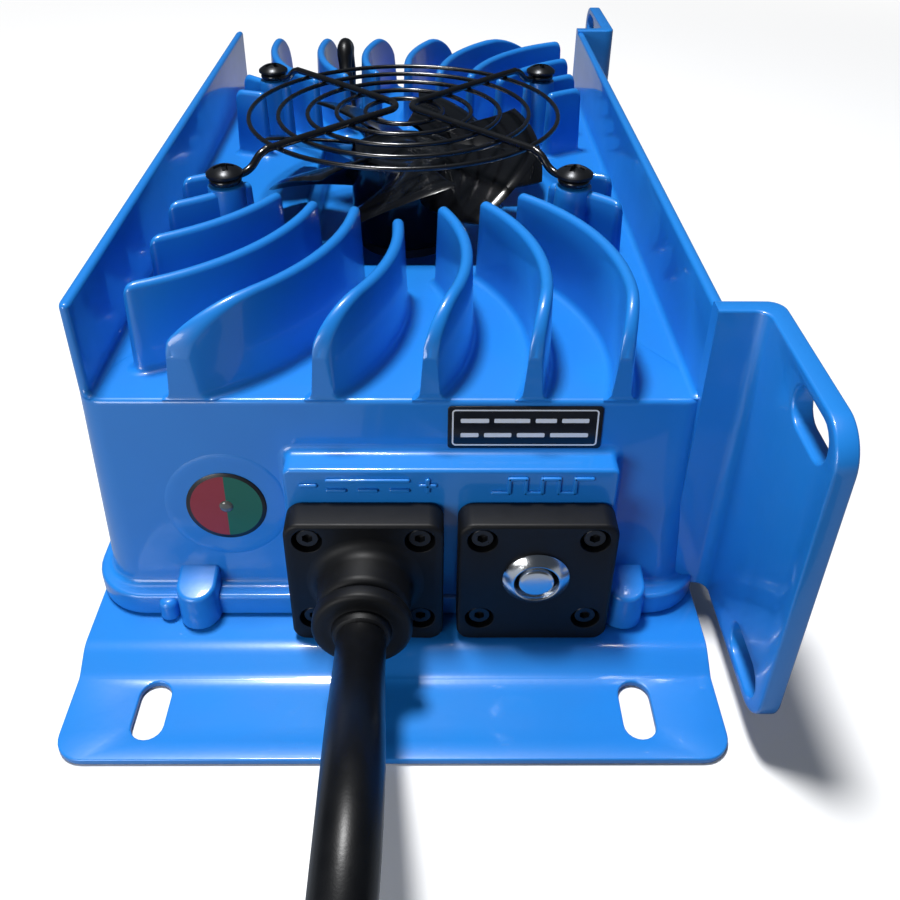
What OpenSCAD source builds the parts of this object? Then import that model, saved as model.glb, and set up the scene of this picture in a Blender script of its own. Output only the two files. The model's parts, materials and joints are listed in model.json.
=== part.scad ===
// Battery charger: a finned casting with a guarded fan on top, two connector plates on its
// front, a power cord with a two-pole plug, and a folded base plate with slotted feet.
// Millimetres, +Z up. X = 0 and Y = 0 are the middle of the casting and Z = 0 is the plane
// that the feet rest on. The connector plates face -Y and the slotted ears are on +X.

/* [Casting] */
// Width over the side walls at their top edge
body_w = 156; // [150:0.5:172]
// Length of the casting at its deck
body_l = 255; // [250:0.5:285]
// Height of the deck above the lower edge of the casting
deck_h = 67; // [64:0.5:80]
// Height of the side walls above the deck
wall_h = 27.3; // [25:0.1:34]
// Thickness of a side wall at its top edge
wall_t = 3; // [2.4:0.1:4]
// Draft of the cast faces, in degrees
draft = 2.9; // [1.5:0.1:4]
// Radius of the upright corners at their top
corner_r = 6.5; // [5.5:0.5:9]
// Thickness of the hollow shell
shell_t = 4; // [3:0.5:5]
// Radius of the deck's front and rear edges
deck_edge_r = 2; // [1:0.1:3]
// Height of the foot ledge round the casting
ledge_h = 7; // [5:0.5:9]
// Distance that the foot ledge stands out at the front and rear of the deck edge
ledge_out = 9.8; // [8:0.1:12]
// Distance from the top of a side wall out to the side of the foot ledge
ledge_side = 7; // [6:0.1:9]
// Radius of the foot ledge's corners
ledge_r = 20; // [14:1:24]

/* [Fins] */
// Height of the fins above the deck
fin_h = 26; // [22:0.5:27]
// Thickness of a fin at its ridge
fin_t = 2.6; // [2:0.1:3.4]
// Thickness of a fin at its foot
fin_foot_t = 5.3; // [4:0.1:6]
// Angle between neighbouring fins
fin_step = 11; // [10:0.5:12]
// Distance from the fan's axis to the inner ends of the fins
fin_start_r = 69; // [66:0.5:72]
// Distance from the fan's axis to the inner end of the middle fin
fin_mid_start_r = 75.5; // [72:0.5:80]
// Radius of each fin's curve in plan
fin_arc_r = 70; // [60:1:80]
// Space between a fin's end and the front or rear edge of the deck
fin_end_gap = 2; // [1:0.5:5]
// Space between the outer ends of the side fins and the walls
fin_side_gap = 9; // [6:0.5:12]
// Radius of the fins' front and rear upper corners
fin_end_r = 12; // [8:0.5:16]
// Radius of the fins' side upper corners
fin_side_r = 4; // [2:0.5:6]

/* [Side ears] */
// Thickness of an ear
ear_t = 5; // [4:0.5:6]
// Distance from the side of the casting to the outer face of the ears
ear_out = 15.3; // [13:0.1:20]
// Length of the slotted flange in front of the casting's end
ear_l = 50; // [42:1:60]
// Height of an ear's lower edge above the foot plane
ear_z = 10.5; // [9:0.5:14]
// Radius of the flange's free corners
ear_r = 10; // [6:0.5:14]
// Radius of the inner bends of an ear
ear_fillet = 3; // [2:0.5:5]
// Width of an ear slot
ear_slot_w = 10; // [8:0.5:11]
// Length of an ear slot
ear_slot_l = 20.5; // [16:0.5:24]
// Distance from an ear's end to the middle of its slots
ear_slot_in = 15.3; // [13:0.1:18]
// Distance from an ear's upper or lower edge to the middle of its slot
ear_slot_edge = 8; // [7:0.5:12]

/* [Base plate] */
// Thickness of the base plate
plate_t = 2; // [1.5:0.1:3]
// Step between the feet and the raised middle of the plate
plate_step = 4.6; // [4:0.1:6]
// Length of each foot beyond the end of the casting
foot_l = 52; // [48:1:60]
// Distance from the end of the casting to the step
step_out = 19.5; // [18:0.5:22]
// Radius of the plate's corners
plate_r = 7; // [4:0.5:10]
// Width of a foot slot
foot_slot_w = 8.2; // [6.5:0.1:9]
// Length of a foot slot
foot_slot_l = 17.3; // [14:0.1:20]
// Distance between the two slots of one foot
foot_slot_pitch = 126.4; // [116:0.2:136]
// Distance from the end of the casting to the middle of the foot slots
foot_slot_out = 37.5; // [36:0.5:40]
// Thickness of the gasket under the casting
gasket_t = 0.6; // [0.4:0.1:1]

/* [Connector plates] */
// Side of a square connector plate
cover_w = 41; // [39:0.1:42]
// Thickness of a connector plate
cover_t = 6.2; // [5.5:0.1:7]
// Radius of a connector plate's corners
cover_r = 5.5; // [3:0.1:7]
// Height of the connector plates' middle above the foot plane
cover_z = 27.4; // [27.4:0.1:30]
// Distance from the middle of the casting to the output plate's middle
output_x = -7.7; // [-8.7:0.1:-6.8]
// Distance from the middle of the casting to the signal plate's middle
signal_x = 36.8; // [36:0.1:37.5]
// Distance between the screws of a connector plate
cover_pitch = 29; // [28:0.1:30]
// Height of the raised panel's upper edge above the foot plane
panel_z = 59; // [56:0.5:62]
// Distance that the raised panel stands out in front of the deck edge
panel_out = 9; // [9:0.1:9.8]
// Margin between the connector plates and the panel's sides
panel_side = 0.1; // [0:0.1:2]
// Diameter of the cord
cord_d = 12.4; // [12:0.1:12.8]
// Diameter of the cord's gland collar
collar_d = 26.4; // [24:0.1:27.4]
// Diameter of the push-button's bezel
bezel_d = 17.6; // [16.5:0.1:19]
// Diameter of the push-button's cap
cap_d = 9.2; // [8:0.1:9.8]
// Travel of the push-button
cap_travel = 1.2; // [0.8:0.1:1.4]

/* [Fan] */
// Radius of the fan's well in the deck
well_r = 58; // [56:0.5:62]
// Depth of the fan's well
well_d = 17; // [14:0.5:20]
// Radius of the fan's blades
fan_r = 50; // [46:0.5:54]
// Radius of the fan's hub
hub_r = 19; // [17:0.5:21]
// Height of the hub
hub_h = 25; // [22:0.5:28]
// Height of the blades
blade_h = 31; // [26:0.5:34]
// Number of blades
blade_n = 7; // [5:1:9]
// Thickness of a blade
blade_t = 1.8; // [1.4:0.1:2.4]
// Radius of the fan's shaft
shaft_r = 1.5; // [1.2:0.1:2]
// Distance between the guard's screws
guard_pitch = 104.8; // [102:0.2:108]
// Radius of the guard's outer ring
guard_r = 53; // [50:0.5:56]
// Radius of the guard's ring wire
ring_wire_r = 1; // [0.8:0.1:1.2]
// Radius of the guard's carrier wire
leg_wire_r = 1.5; // [1.2:0.1:1.8]

/* [Hidden] */

paint = [0.16, 0.48, 0.86];
black = [0.07, 0.07, 0.08];
steel = [0.75, 0.76, 0.78];

// Clearance between pieces that are screwed or pushed together
fit = 0.1;
// Radial clearance of the running fits
run = 0.05;
eps = 0.01;

// Heights above the foot plane
base_z = plate_t + plate_step;
body_z = base_z + gasket_t;
deck_z = body_z + deck_h;
wall_z = deck_z + wall_h;
fin_z = deck_z + fin_h;
well_z = deck_z - well_d;
roof_z = deck_z - shell_t;

// Plan of the casting
half_l = body_l / 2;
lean = tan(draft);
wall_in = body_w / 2 - wall_t;
panel_y = -half_l - panel_out;
cover_y = panel_y - cover_t;
base_screw_y = half_l + 8.5;
base_screw_x = [-54.5, 64.5];
foot_end = half_l + foot_l;
base_screw_l = 12;
foot_slot_y = half_l + foot_slot_out;

// Half width and half length of the drafted outside at a height
function half_w_at(z) = body_w / 2 + (wall_z - z) * lean;
function half_l_at(z) = half_l + (deck_z - z) * lean;

// Points of an arc from angle a0 to angle a1 in n steps
function arc_points(c, r, a0, a1, n) =
  [for (i = [0:n]) let (a = a0 + (a1 - a0) * i / n) [c[0] + r * cos(a), c[1] + r * sin(a)]];

// Rectangle with round corners, centred on the origin
module rounded_rect(w, l, r) {
  square([w - 2 * r, l], center = true);
  square([w, l - 2 * r], center = true);
  for (x = [-1, 1], y = [-1, 1])
    translate([x * (w / 2 - r), y * (l / 2 - r)]) circle(r = r, $fn = 48);
}

// Slot of width w and end-to-end length l along Y
module slot_2d(w, l) {
  square([w, l - w], center = true);
  for (y = [-1, 1]) translate([0, y * (l - w) / 2]) circle(d = w, $fn = 48);
}

// Block with drafted sides and round upright corners between two heights
module drafted_block(inset, r_top, z0, z1) {
  w = half_w_at(z1) - inset;
  l = half_l_at(z1) - inset;
  hull()
    for (x = [-1, 1], y = [-1, 1])
      translate([x * (w - r_top), y * (l - r_top), z0])
        cylinder(r1 = r_top + (z1 - z0) * lean, r2 = r_top, h = z1 - z0, $fn = 48);
}

// Solid that pushes along the axis from a front plane y0 back to y1
module along_y(y0, y1) {
  translate([0, y1, 0]) rotate([90, 0, 0]) linear_extrude(height = y1 - y0) children();
}

// Low round screw head whose flat underside is at z = 0
module pan_head(r, h) {
  dome = (r * r + h * h) / (2 * h) + r / 4;
  rotate_extrude($fn = 48) intersection() {
    translate([0, h - dome]) circle(r = dome, $fn = 96);
    square([r, h]);
  }
}

// Cross recess that is cut into a head of height h
module cross_recess(w, h, depth) {
  for (a = [0, 90]) rotate(a)
    translate([-w / 2, -w / 8, h - depth]) cube([w, w / 4, depth + 1]);
}

// Pan-head screw: the head is above z = 0 and the shank hangs below it
module pan_screw(head_r, head_h, shank_r, shank_l) {
  difference() {
    union() {
      pan_head(head_r, head_h);
      translate([0, 0, -shank_l]) cylinder(r = shank_r, h = shank_l + head_h / 2, $fn = 32);
    }
    cross_recess(head_r * 1.1, head_h, head_h * 0.5);
  }
}

// Tube of radius r with n sides swept along a list of points
function unit(v) = v / norm(v);
function tangent(p, i) = unit(p[min(i + 1, len(p) - 1)] - p[max(i - 1, 0)]);
function side_of(t) = unit(cross(t, abs(t[2]) > 0.95 ? [1, 0, 0] : [0, 0, 1]));
module sweep_tube(p, r, n) {
  m = len(p);
  points = [for (i = [0:m - 1]) let (t = tangent(p, i), s = side_of(t), u = cross(s, t))
            for (k = [0:n - 1]) p[i] + r * (cos(360 * k / n) * s + sin(360 * k / n) * u)];
  walls = [for (i = [0:m - 2], k = [0:n - 1]) let (k2 = (k + 1) % n)
           each [[i * n + k, i * n + k2, (i + 1) * n + k2],
                 [i * n + k, (i + 1) * n + k2, (i + 1) * n + k]]];
  caps = [[for (k = [n - 1:-1:0]) k], [for (k = [0:n - 1]) (m - 1) * n + k]];
  polyhedron(points, concat(walls, caps));
}

// Smooth curve through a list of points, with n steps in each span
function spline(p, n) = [
  for (i = [0:len(p) - 2], k = [0:n - 1])
    let (t = k / n, a = p[max(i - 1, 0)], b = p[i], c = p[i + 1], d = p[min(i + 2, len(p) - 1)])
    0.5 * ((2 * b) + (c - a) * t + (2 * a - 5 * b + 4 * c - d) * t * t
           + (3 * b - a - 3 * c + d) * t * t * t),
  p[len(p) - 1]];

// Extra lean of each fin's start into the swirl, from the first fin to the last
fin_lead = [0, 2, 5, 10, 8, 5, 14, 14, 14, 14, 14];
fin_half_n = 5;
fin_sweep = 80;

// One fin: a drafted section with a round ridge, turned about its own centre in plan
module fin(k) {
  a = fin_step * k;
  heading = a + fin_lead[k + fin_half_n];
  r = k == 0 ? fin_mid_start_r : fin_start_r;
  c = [r * sin(a) - fin_arc_r * cos(heading), -r * cos(a) - fin_arc_r * sin(heading)];
  translate([c[0], c[1], deck_z - 1])
    rotate(heading - fin_sweep)
      rotate_extrude(angle = fin_sweep, $fn = 96)
        translate([fin_arc_r, 0]) {
          polygon([[-fin_foot_t / 2, 0], [fin_foot_t / 2, 0],
                   [fin_t / 2, fin_h + 1 - fin_t / 2], [-fin_t / 2, fin_h + 1 - fin_t / 2]]);
          translate([0, fin_h + 1 - fin_t / 2]) circle(d = fin_t, $fn = 24);
        }
}

// Space that the fins may fill: round front and rear corners, and leaning sides. Its top lies
// a little over the ridges, so that no face only grazes another.
over = 0.3;
module fin_envelope() {
  y = half_l - fin_end_gap;
  w = wall_in - fin_side_gap;
  low = deck_z - 1;
  top = fin_z + over;
  intersection() {
    rotate([90, 0, 90]) linear_extrude(height = body_w, center = true) {
      translate([-y, low]) square([2 * y, top - fin_end_r - low]);
      translate([-y + fin_end_r, low]) square([2 * (y - fin_end_r), top - low]);
      for (s = [-1, 1]) translate([s * (y - fin_end_r), top - fin_end_r])
        circle(r = fin_end_r, $fn = 96);
    }
    rotate([90, 0, 0]) linear_extrude(height = body_l, center = true) {
      polygon([[-w - 3, low], [w + 3, low], [w, top - fin_side_r], [-w, top - fin_side_r]]);
      translate([-w + fin_side_r, low]) square([2 * (w - fin_side_r), top - low]);
      for (s = [-1, 1]) translate([s * (w - fin_side_r), top - fin_side_r])
        circle(r = fin_side_r, $fn = 48);
    }
  }
}

module fins() {
  for (turn = [0, 180], k = [-fin_half_n:fin_half_n])
    intersection() {
      rotate(turn) fin(k);
      fin_envelope();
    }
}

// Places of the four guard screws
module at_guard_screws() {
  for (x = [-1, 1], y = [-1, 1])
    translate([x * guard_pitch / 2, y * guard_pitch / 2, 0]) children();
}

boss_r = 5.5;
guard_screw_r = 2;
guard_screw_l = 12;

// Slotted ear: a web out of the casting's end, and a flange that runs on past that end
ear_web_y = half_l - 1.5;
ear_x = body_w / 2 + ear_out;
ear_top = wall_z;
ear_end_y = half_l + ear_l;
ear_slot_y = ear_end_y - ear_slot_in;
ear_slot_z = [ear_z + ear_slot_edge, ear_top - ear_slot_edge];
module ear() {
  inner = ear_x - ear_t;
  web_y = ear_web_y;
  difference() {
    intersection() {
      translate([0, 0, ear_z]) linear_extrude(height = ear_top - ear_z) {
        translate([wall_in, web_y - ear_t + 3]) square([ear_x - wall_in, ear_t]);
        translate([inner, web_y]) square([ear_t, ear_end_y - web_y]);
        difference() {
          translate([inner - ear_fillet, web_y + 3]) square(ear_fillet + eps);
          translate([inner - ear_fillet, web_y + 3 + ear_fillet])
            circle(r = ear_fillet, $fn = 48);
        }
      }
      rotate([90, 0, 90]) linear_extrude(height = ear_x + 1) {
        h = ear_top - ear_z;
        translate([0, ear_z]) square([ear_end_y - ear_r, h]);
        translate([ear_end_y - 2 * ear_r, ear_z + ear_r]) square([2 * ear_r, h - 2 * ear_r]);
        for (z = [ear_z + ear_r, ear_top - ear_r])
          translate([ear_end_y - ear_r, z]) circle(r = ear_r, $fn = 64);
      }
    }
    for (z = ear_slot_z)
      translate([inner - 1, ear_slot_y, z]) rotate([90, 0, 90])
        linear_extrude(height = ear_t + 2) rotate(-90) slot_2d(ear_slot_w, ear_slot_l);
  }
}

// Half-round screw bosses at the front of the foot ledge, with a small one beside the left
boss_z = body_z + 11.5;
module ledge_bosses() {
  for (x = base_screw_x) translate([x, base_screw_y, body_z]) {
    cylinder(r = 6, h = boss_z - body_z, $fn = 48);
    translate([-6, -12, 0]) cube([12, 12, boss_z - body_z]);
  }
  translate([base_screw_x[0] - 9, base_screw_y - 0.5, body_z]) cylinder(r = 3.6, h = ledge_h - 1, $fn = 32);
}

post_x = 60;
post_y = 104;
post_r = 5;
board_z = 17;
board_t = 1.6;
input_z = 30;
input_pad_r = 16;
input_hole_r = 10.2;
panel_hole_r = 13;
lead_hole = [-27, 114];
lead_r = 1.8;

module housing() {
  panel_x0 = output_x - cover_w / 2 - panel_side;
  panel_x1 = signal_x + cover_w / 2 + panel_side;
  color(paint) difference() {
    union() {
      difference() {
        drafted_block(0, corner_r, body_z, wall_z);
        // Open channel between the side walls
        along_y(-body_l, body_l)
          polygon([[-wall_in + wall_h * lean, deck_z], [wall_in - wall_h * lean, deck_z],
                   [wall_in + lean, wall_z + 1], [-wall_in - lean, wall_z + 1]]);
        // Round front and rear edges of the deck
        for (s = [0, 180]) rotate(s) translate([0, -half_l, deck_z]) difference() {
          translate([-wall_in + wall_h * lean, -deck_edge_r, -deck_edge_r])
            cube([2 * (wall_in - wall_h * lean), 2 * deck_edge_r, deck_edge_r + 1]);
          translate([0, deck_edge_r, -deck_edge_r]) rotate([0, 90, 0])
            cylinder(r = deck_edge_r, h = body_w, center = true, $fn = 48);
        }
      }
      // Foot ledge
      translate([0, 0, body_z]) linear_extrude(height = ledge_h)
        rounded_rect(body_w + 2 * ledge_side, body_l + 2 * ledge_out, ledge_r);
      ledge_bosses();
      mirror([0, 1, 0]) ledge_bosses();
      // Raised panel behind the connector plates
      along_y(panel_y, -half_l + shell_t)
        translate([(panel_x0 + panel_x1) / 2, (body_z + panel_z) / 2])
          rounded_rect(panel_x1 - panel_x0, panel_z - body_z, 3);
      // Pad for the input gland on the rear
      along_y(half_l - shell_t, half_l + 7) translate([0, input_z]) circle(r = input_pad_r, $fn = 64);
      ear();
      mirror([0, 1, 0]) ear();
      fins();
      at_guard_screws() translate([0, 0, deck_z - 1])
        cylinder(r1 = boss_r + fin_h * lean, r2 = boss_r, h = fin_h + 1, $fn = 48);
    }
    at_guard_screws() translate([0, 0, fin_z - guard_screw_l - 2])
      cylinder(r = guard_screw_r + fit, h = 20, $fn = 32);
    // The ledge ends flush with the panel where the connector plates lie
    along_y(-half_l - ledge_out - 9, panel_y)
      translate([panel_x0, body_z - 1]) square([panel_x1 - panel_x0, ledge_h + 8]);
    // Hollow for the electronics, which leaves the floor of the well whole
    difference() {
      drafted_block(shell_t, corner_r - shell_t + wall_h * lean + 1, body_z - 1, roof_z);
      translate([0, 0, well_z - shell_t]) cylinder(r = well_r + shell_t, h = well_d + 10, $fn = 96);
      for (x = [-1, 1], y = [-1, 1]) translate([x * post_x, y * post_y, board_z + board_t])
        cylinder(r = post_r, h = deck_h, $fn = 32);
    }
    translate([0, 0, well_z]) cylinder(r = well_r, h = well_d + 1, $fn = 96);
    // Holes of the front panel: the cord's, the push-button's and their screws'
    for (x = [output_x, signal_x]) {
      along_y(panel_y - 1, -half_l + 2 * shell_t) translate([x, cover_z]) circle(r = panel_hole_r, $fn = 64);
      along_y(panel_y - 1, panel_y + 9) cover_screw_places(x) circle(r = 1.5 + fit, $fn = 32);
    }
    along_y(half_l - 2 * shell_t, half_l + 8) translate([0, input_z]) circle(r = input_hole_r, $fn = 64);
    at_base_screws(body_z - 1) cylinder(r = 2 + fit, h = base_screw_l, $fn = 32);
    for (x = [-1, 1], y = [-1, 1]) translate([x * post_x, y * post_y, board_z])
      cylinder(r = 1.5 + fit, h = 10, $fn = 32);
    translate([0, 0, well_z - shell_t - 1]) {
      for (a = [90, 210, 330]) rotate(a) translate([fan_screw_r, 0, 0]) cylinder(r = 1.7, h = shell_t + 2, $fn = 32);
    }
    translate([lead_hole[0], lead_hole[1], roof_z - 1]) cylinder(r = lead_r + 0.9, h = shell_t + 2, $fn = 32);
  }
}

// Places of the four base screws at a height
module at_base_screws(z) {
  for (x = base_screw_x, y = [-1, 1]) translate([x, y * base_screw_y, z]) children();
}

module base_gasket() {
  color("dimgray") translate([0, 0, base_z]) linear_extrude(height = gasket_t) difference() {
    rounded_rect(body_w + 2 * ledge_side - 2, body_l + 2 * ledge_out - 2, ledge_r - 1);
    rounded_rect(body_w - 6, body_l - 6, 8);
    for (x = base_screw_x, y = [-1, 1]) translate([x, y * base_screw_y]) circle(r = 2.3, $fn = 32);
  }
}

// Section of the base plate from its middle out to one end, as the upper line of the sheet
bend_r = 4;
step_angle = 35;
function plate_line(off) = let (
    y0 = half_l + step_out,
    r1 = bend_r + off,
    r2 = bend_r + plate_t - off,
    run_l = (plate_step - (2 * bend_r + plate_t) * (1 - cos(step_angle))) / sin(step_angle),
    y1 = y0 + (2 * bend_r + plate_t) * sin(step_angle) + run_l * cos(step_angle))
  concat([[0, base_z - plate_t + off]],
         arc_points([y0, base_z - plate_t - bend_r], r1, 90, 90 - step_angle, 5),
         arc_points([y1, plate_t + bend_r], r2, 270 - step_angle, 270, 5),
         [[foot_end, off]]);
module base_plate() {
  color(paint) difference() {
    intersection() {
      for (s = [0, 180]) rotate(s)
        rotate([90, 0, 90]) linear_extrude(height = 2 * (body_w + 2 * ledge_side), center = true)
          polygon(concat(plate_line(plate_t), [for (i = [13:-1:0]) plate_line(0)[i]]));
      linear_extrude(height = 3 * base_z, center = true)
        rounded_rect(body_w + 2 * ledge_side, 2 * foot_end, plate_r);
    }
    for (x = [-1, 1], y = [-1, 1])
      translate([x * foot_slot_pitch / 2, y * foot_slot_y, -1])
        linear_extrude(height = plate_t + 2) slot_2d(foot_slot_w, foot_slot_l);
    at_base_screws(0) cylinder(r = 2.3, h = base_z + 1, $fn = 32);
  }
}

module base_screws() {
  color(steel) at_base_screws(base_z - plate_t) mirror([0, 0, 1]) pan_screw(3.8, 2.4, 2, base_screw_l);
}

// Places of one connector plate's screws in the panel's plane
module cover_screw_places(x) {
  for (i = [-1, 1], j = [-1, 1])
    translate([x + i * cover_pitch / 2, cover_z + j * cover_pitch / 2]) children();
}

// Square connector plate with sunk screws
module cover_plate(x) {
  difference() {
    along_y(cover_y, panel_y) translate([x, cover_z]) rounded_rect(cover_w, cover_w, cover_r);
    along_y(cover_y - 1, panel_y + 1) cover_screw_places(x) circle(r = 1.9, $fn = 32);
    along_y(cover_y - 1, cover_y + 4) cover_screw_places(x) circle(r = 4, $fn = 48);
  }
}

// Cap screws that sit in the sunk holes of a connector plate
module cover_screws(x) {
  for (i = [-1, 1], j = [-1, 1])
    translate([x + i * cover_pitch / 2, cover_y + 4, cover_z + j * cover_pitch / 2])
      rotate([90, 0, 0]) difference() {
        union() {
          cylinder(r = 2.75, h = 3, $fn = 32);
          translate([0, 0, -9]) cylinder(r = 1.5, h = 9 + eps, $fn = 32);
        }
        translate([0, 0, 1.3]) cylinder(r = 1.45, h = 3, $fn = 6);
      }
}

hood_l = 6;
hood_r = 12.2;
collar_y = cover_y - hood_l;
module output_plate() {
  color(black) {
    cover_plate(output_x);
    along_y(collar_y, cover_y + eps) translate([output_x, cover_z]) circle(r = hood_r, $fn = 64);
  }
}

module output_plate_screws() {
  color(black) cover_screws(output_x);
}

// Gland: a groove, a wide collar and the short neck that grips the cord
module output_gland() {
  color(black) translate([output_x, collar_y, cover_z]) rotate([90, 0, 0]) rotate_extrude($fn = 64)
    polygon([[0, 0], [hood_r - 1.4, 0], [hood_r - 1.4, 1.2], [collar_d / 2 - 0.6, 1.2],
             [collar_d / 2, 1.8], [collar_d / 2, 4.2], [collar_d / 2 - 0.6, 4.8],
             [cord_d / 2 + 1, 4.8], [cord_d / 2 + 0.4, 7], [0, 7]]);
}

bush_r = bezel_d / 2 - 1.2;
cap_r = cap_d / 2;
module signal_plate() {
  color(black) difference() {
    cover_plate(signal_x);
    along_y(cover_y - 1, panel_y + 1) translate([signal_x, cover_z + 1.4]) circle(r = bush_r + fit, $fn = 64);
  }
}

module signal_plate_screws() {
  color(black) cover_screws(signal_x);
}

// Frame of the push-button: its origin is on the face of the signal plate, with +Z outwards
module at_button() {
  translate([signal_x, cover_y, cover_z + 1.4]) rotate([90, 0, 0]) children();
}
bezel_h = 2.2;
bush_l = 16;
module button_bezel() {
  color(steel) at_button() difference() {
    rotate_extrude($fn = 64)
      polygon([[0, -bush_l], [bush_r, -bush_l], [bush_r, 0], [bezel_d / 2, 0],
               [bezel_d / 2, 0.5], [cap_r + 1.7, bezel_h], [0, bezel_h]]);
    translate([0, 0, -3.4]) cylinder(r = cap_r + 0.3, h = 10, $fn = 64);
    translate([0, 0, bezel_h - 0.9]) cylinder(r1 = cap_r + 0.3, r2 = cap_r + 1.3, h = 0.95, $fn = 64);
  }
}

module button_cap() {
  color(steel) at_button() translate([0, 0, -3.4 + cap_travel + 0.3])
    cylinder(r = cap_r, h = bezel_h + 3.2 - cap_travel, $fn = 64);
}

module button_nut() {
  color(steel) at_button() translate([0, 0, -cover_t - 3]) difference() {
    cylinder(r = panel_hole_r - 1.6, h = 3 - fit, $fn = 6);
    translate([0, 0, -1]) cylinder(r = bush_r + fit, h = 6, $fn = 64);
  }
}

// Frame on the drafted front face at a height: +Z outwards, +Y up the face
module on_front(x, z) {
  translate([x, -half_l_at(z), z]) rotate([90 - draft, 0, 0]) children();
}
disc_t = 0.5;
module indicator_disc() {
  color("firebrick") on_front(-45.3, 40.7) translate([0, 0, 0.05]) cylinder(r = 10.6, h = disc_t, $fn = 64);
}

module voltage_label() {
  color(black) on_front(33.9, 66.3) translate([0, 0, 0.05])
    linear_extrude(height = disc_t) rounded_rect(40.6, 12.4, 0.8);
}

// Guard: five wire rings under two bent carrier wires, with an eye at each screw
eye_wire_r = 1.2;
eye_z = fin_z + leg_wire_r + run;
leg_z = fin_z + 6.8;
ring_z = leg_z - leg_wire_r - 0.3;
apex_r = 7;
ring_gap = 9.9;
screw_d = guard_pitch / 2 * sqrt(2);
leg_drop_r = 57;
leg_ramp = 7.4;
leg_end_gap = 3.2;
// Points of one carrier wire: up from an eye, in to the rounded apex and out to the other eye
function turned(p, a) = [p[0] * cos(a) - p[1] * sin(a), p[0] * sin(a) + p[1] * cos(a), p[2]];
leg_points = [[leg_drop_r, leg_z], [leg_drop_r + 0.3 * leg_ramp, leg_z - 0.9],
              [leg_drop_r + 0.7 * leg_ramp, eye_z + 0.9], [leg_drop_r + leg_ramp, eye_z],
              [screw_d - leg_end_gap, eye_z]];
function carrier_points() = concat(
  [for (i = [4:-1:0]) turned([leg_points[i][0], 0, leg_points[i][1]], 135)],
  [for (a = [45:-15:-45]) [apex_r * (cos(a) - sqrt(2)), apex_r * sin(a), leg_z]],
  [for (i = [0:4]) turned([leg_points[i][0], 0, leg_points[i][1]], 225)]);
module fan_guard() {
  color(black) {
    for (i = [0:4]) translate([0, 0, ring_z])
      rotate_extrude($fn = 96) translate([guard_r - i * ring_gap, 0]) circle(r = ring_wire_r, $fn = 24);
    for (turn = [0, 180]) rotate(turn) sweep_tube(carrier_points(), leg_wire_r, 8);
    at_guard_screws() translate([0, 0, eye_z])
      rotate_extrude($fn = 48) translate([3.6, 0]) circle(r = eye_wire_r, $fn = 24);
  }
}

module guard_screws() {
  color(black) at_guard_screws() translate([0, 0, eye_z + leg_wire_r + run])
    pan_screw(5.5, 2.9, guard_screw_r, guard_screw_l);
}

// Fan: a fixed stator on the floor of the well, and a hub with blades that turns over it
stator_base_t = 3;
stator_r = hub_r - 4.5;
hub_z = well_z + stator_base_t + 1.5;
hub_wall = 3.4;
bearing_r = 4;
bearing_h = 4;
fan_screw_r = 10.5;
stator_top = hub_z + hub_h - hub_wall - 1.5;
module fan_stator() {
  color([0.2, 0.2, 0.21]) difference() {
    union() {
      translate([0, 0, well_z]) cylinder(r = hub_r - 2, h = stator_base_t, $fn = 64);
      translate([0, 0, well_z]) cylinder(r = stator_r, h = stator_top - well_z, $fn = 64);
    }
    translate([0, 0, well_z + 1.5]) cylinder(r = bearing_r + run, h = hub_h + 10, $fn = 48);
    for (a = [90, 210, 330]) rotate(a) translate([fan_screw_r, 0, well_z - 1])
      cylinder(r = 1.5 + fit, h = 9, $fn = 32);
  }
}

bearing_z = [well_z + 2, stator_top - bearing_h - 0.5];
module fan_bearings() {
  color(steel) for (z = bearing_z) translate([0, 0, z]) difference() {
    cylinder(r = bearing_r, h = bearing_h, $fn = 48);
    translate([0, 0, -1]) cylinder(r = shaft_r + run, h = bearing_h + 2, $fn = 32);
  }
}

module fan_shaft() {
  color(steel) translate([0, 0, well_z + 2]) cylinder(r = shaft_r, h = hub_z + hub_h - 1 - well_z - 2, $fn = 32);
}

module fan_screws() {
  color(steel) for (a = [90, 210, 330]) rotate(a) translate([fan_screw_r, 0, well_z - shell_t])
    mirror([0, 0, 1]) pan_screw(3, 1.8, 1.5, shell_t + 6);
}

// One blade: a thin sheet that climbs as it sweeps round, from the hub to the tip
blade_rows = 5;
blade_cols = 7;
blade_z = hub_z + 1;
blade_root_r = hub_r - 1.2;
function blade_angle(u, v) = v * (66 - 16 * u) + 12 * u * u;
function blade_height(u, v) = (0.12 + 0.06 * u) * blade_h + (0.82 - 0.06 * u) * blade_h * (v + 0.12 * sin(180 * v));
function blade_point(i, j, side) = let (
    u = i / blade_rows, v = j / blade_cols,
    r = blade_root_r + (fan_r - blade_root_r) * u, a = blade_angle(u, v))
  [r * cos(a), r * sin(a), blade_height(u, v) + side * blade_t / 2];
module blade() {
  w = blade_cols + 1;
  top = (blade_rows + 1) * w;
  points = [for (side = [-1, 1], i = [0:blade_rows], j = [0:blade_cols]) blade_point(i, j, side)];
  skin = [for (i = [0:blade_rows - 1], j = [0:blade_cols - 1])
          let (a = i * w + j, b = a + 1, c = a + w, d = c + 1)
          each [[a, b, d], [a, d, c], [top + a, top + d, top + b], [top + a, top + c, top + d]]];
  ends_j = [for (j = [0:blade_cols - 1], e = [0, 1])
            let (a = e * blade_rows * w + j, b = a + 1, f = [[a, top + a, top + b], [a, top + b, b]])
            each e == 0 ? f : [for (t = f) [t[0], t[2], t[1]]]];
  ends_i = [for (i = [0:blade_rows - 1], e = [0, 1])
            let (a = i * w + e * blade_cols, c = a + w, f = [[a, c, top + c], [a, top + c, top + a]])
            each e == 0 ? f : [for (t = f) [t[0], t[2], t[1]]]];
  polyhedron(points, [for (f = concat(skin, ends_j, ends_i)) [f[0], f[2], f[1]]]);
}
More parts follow.
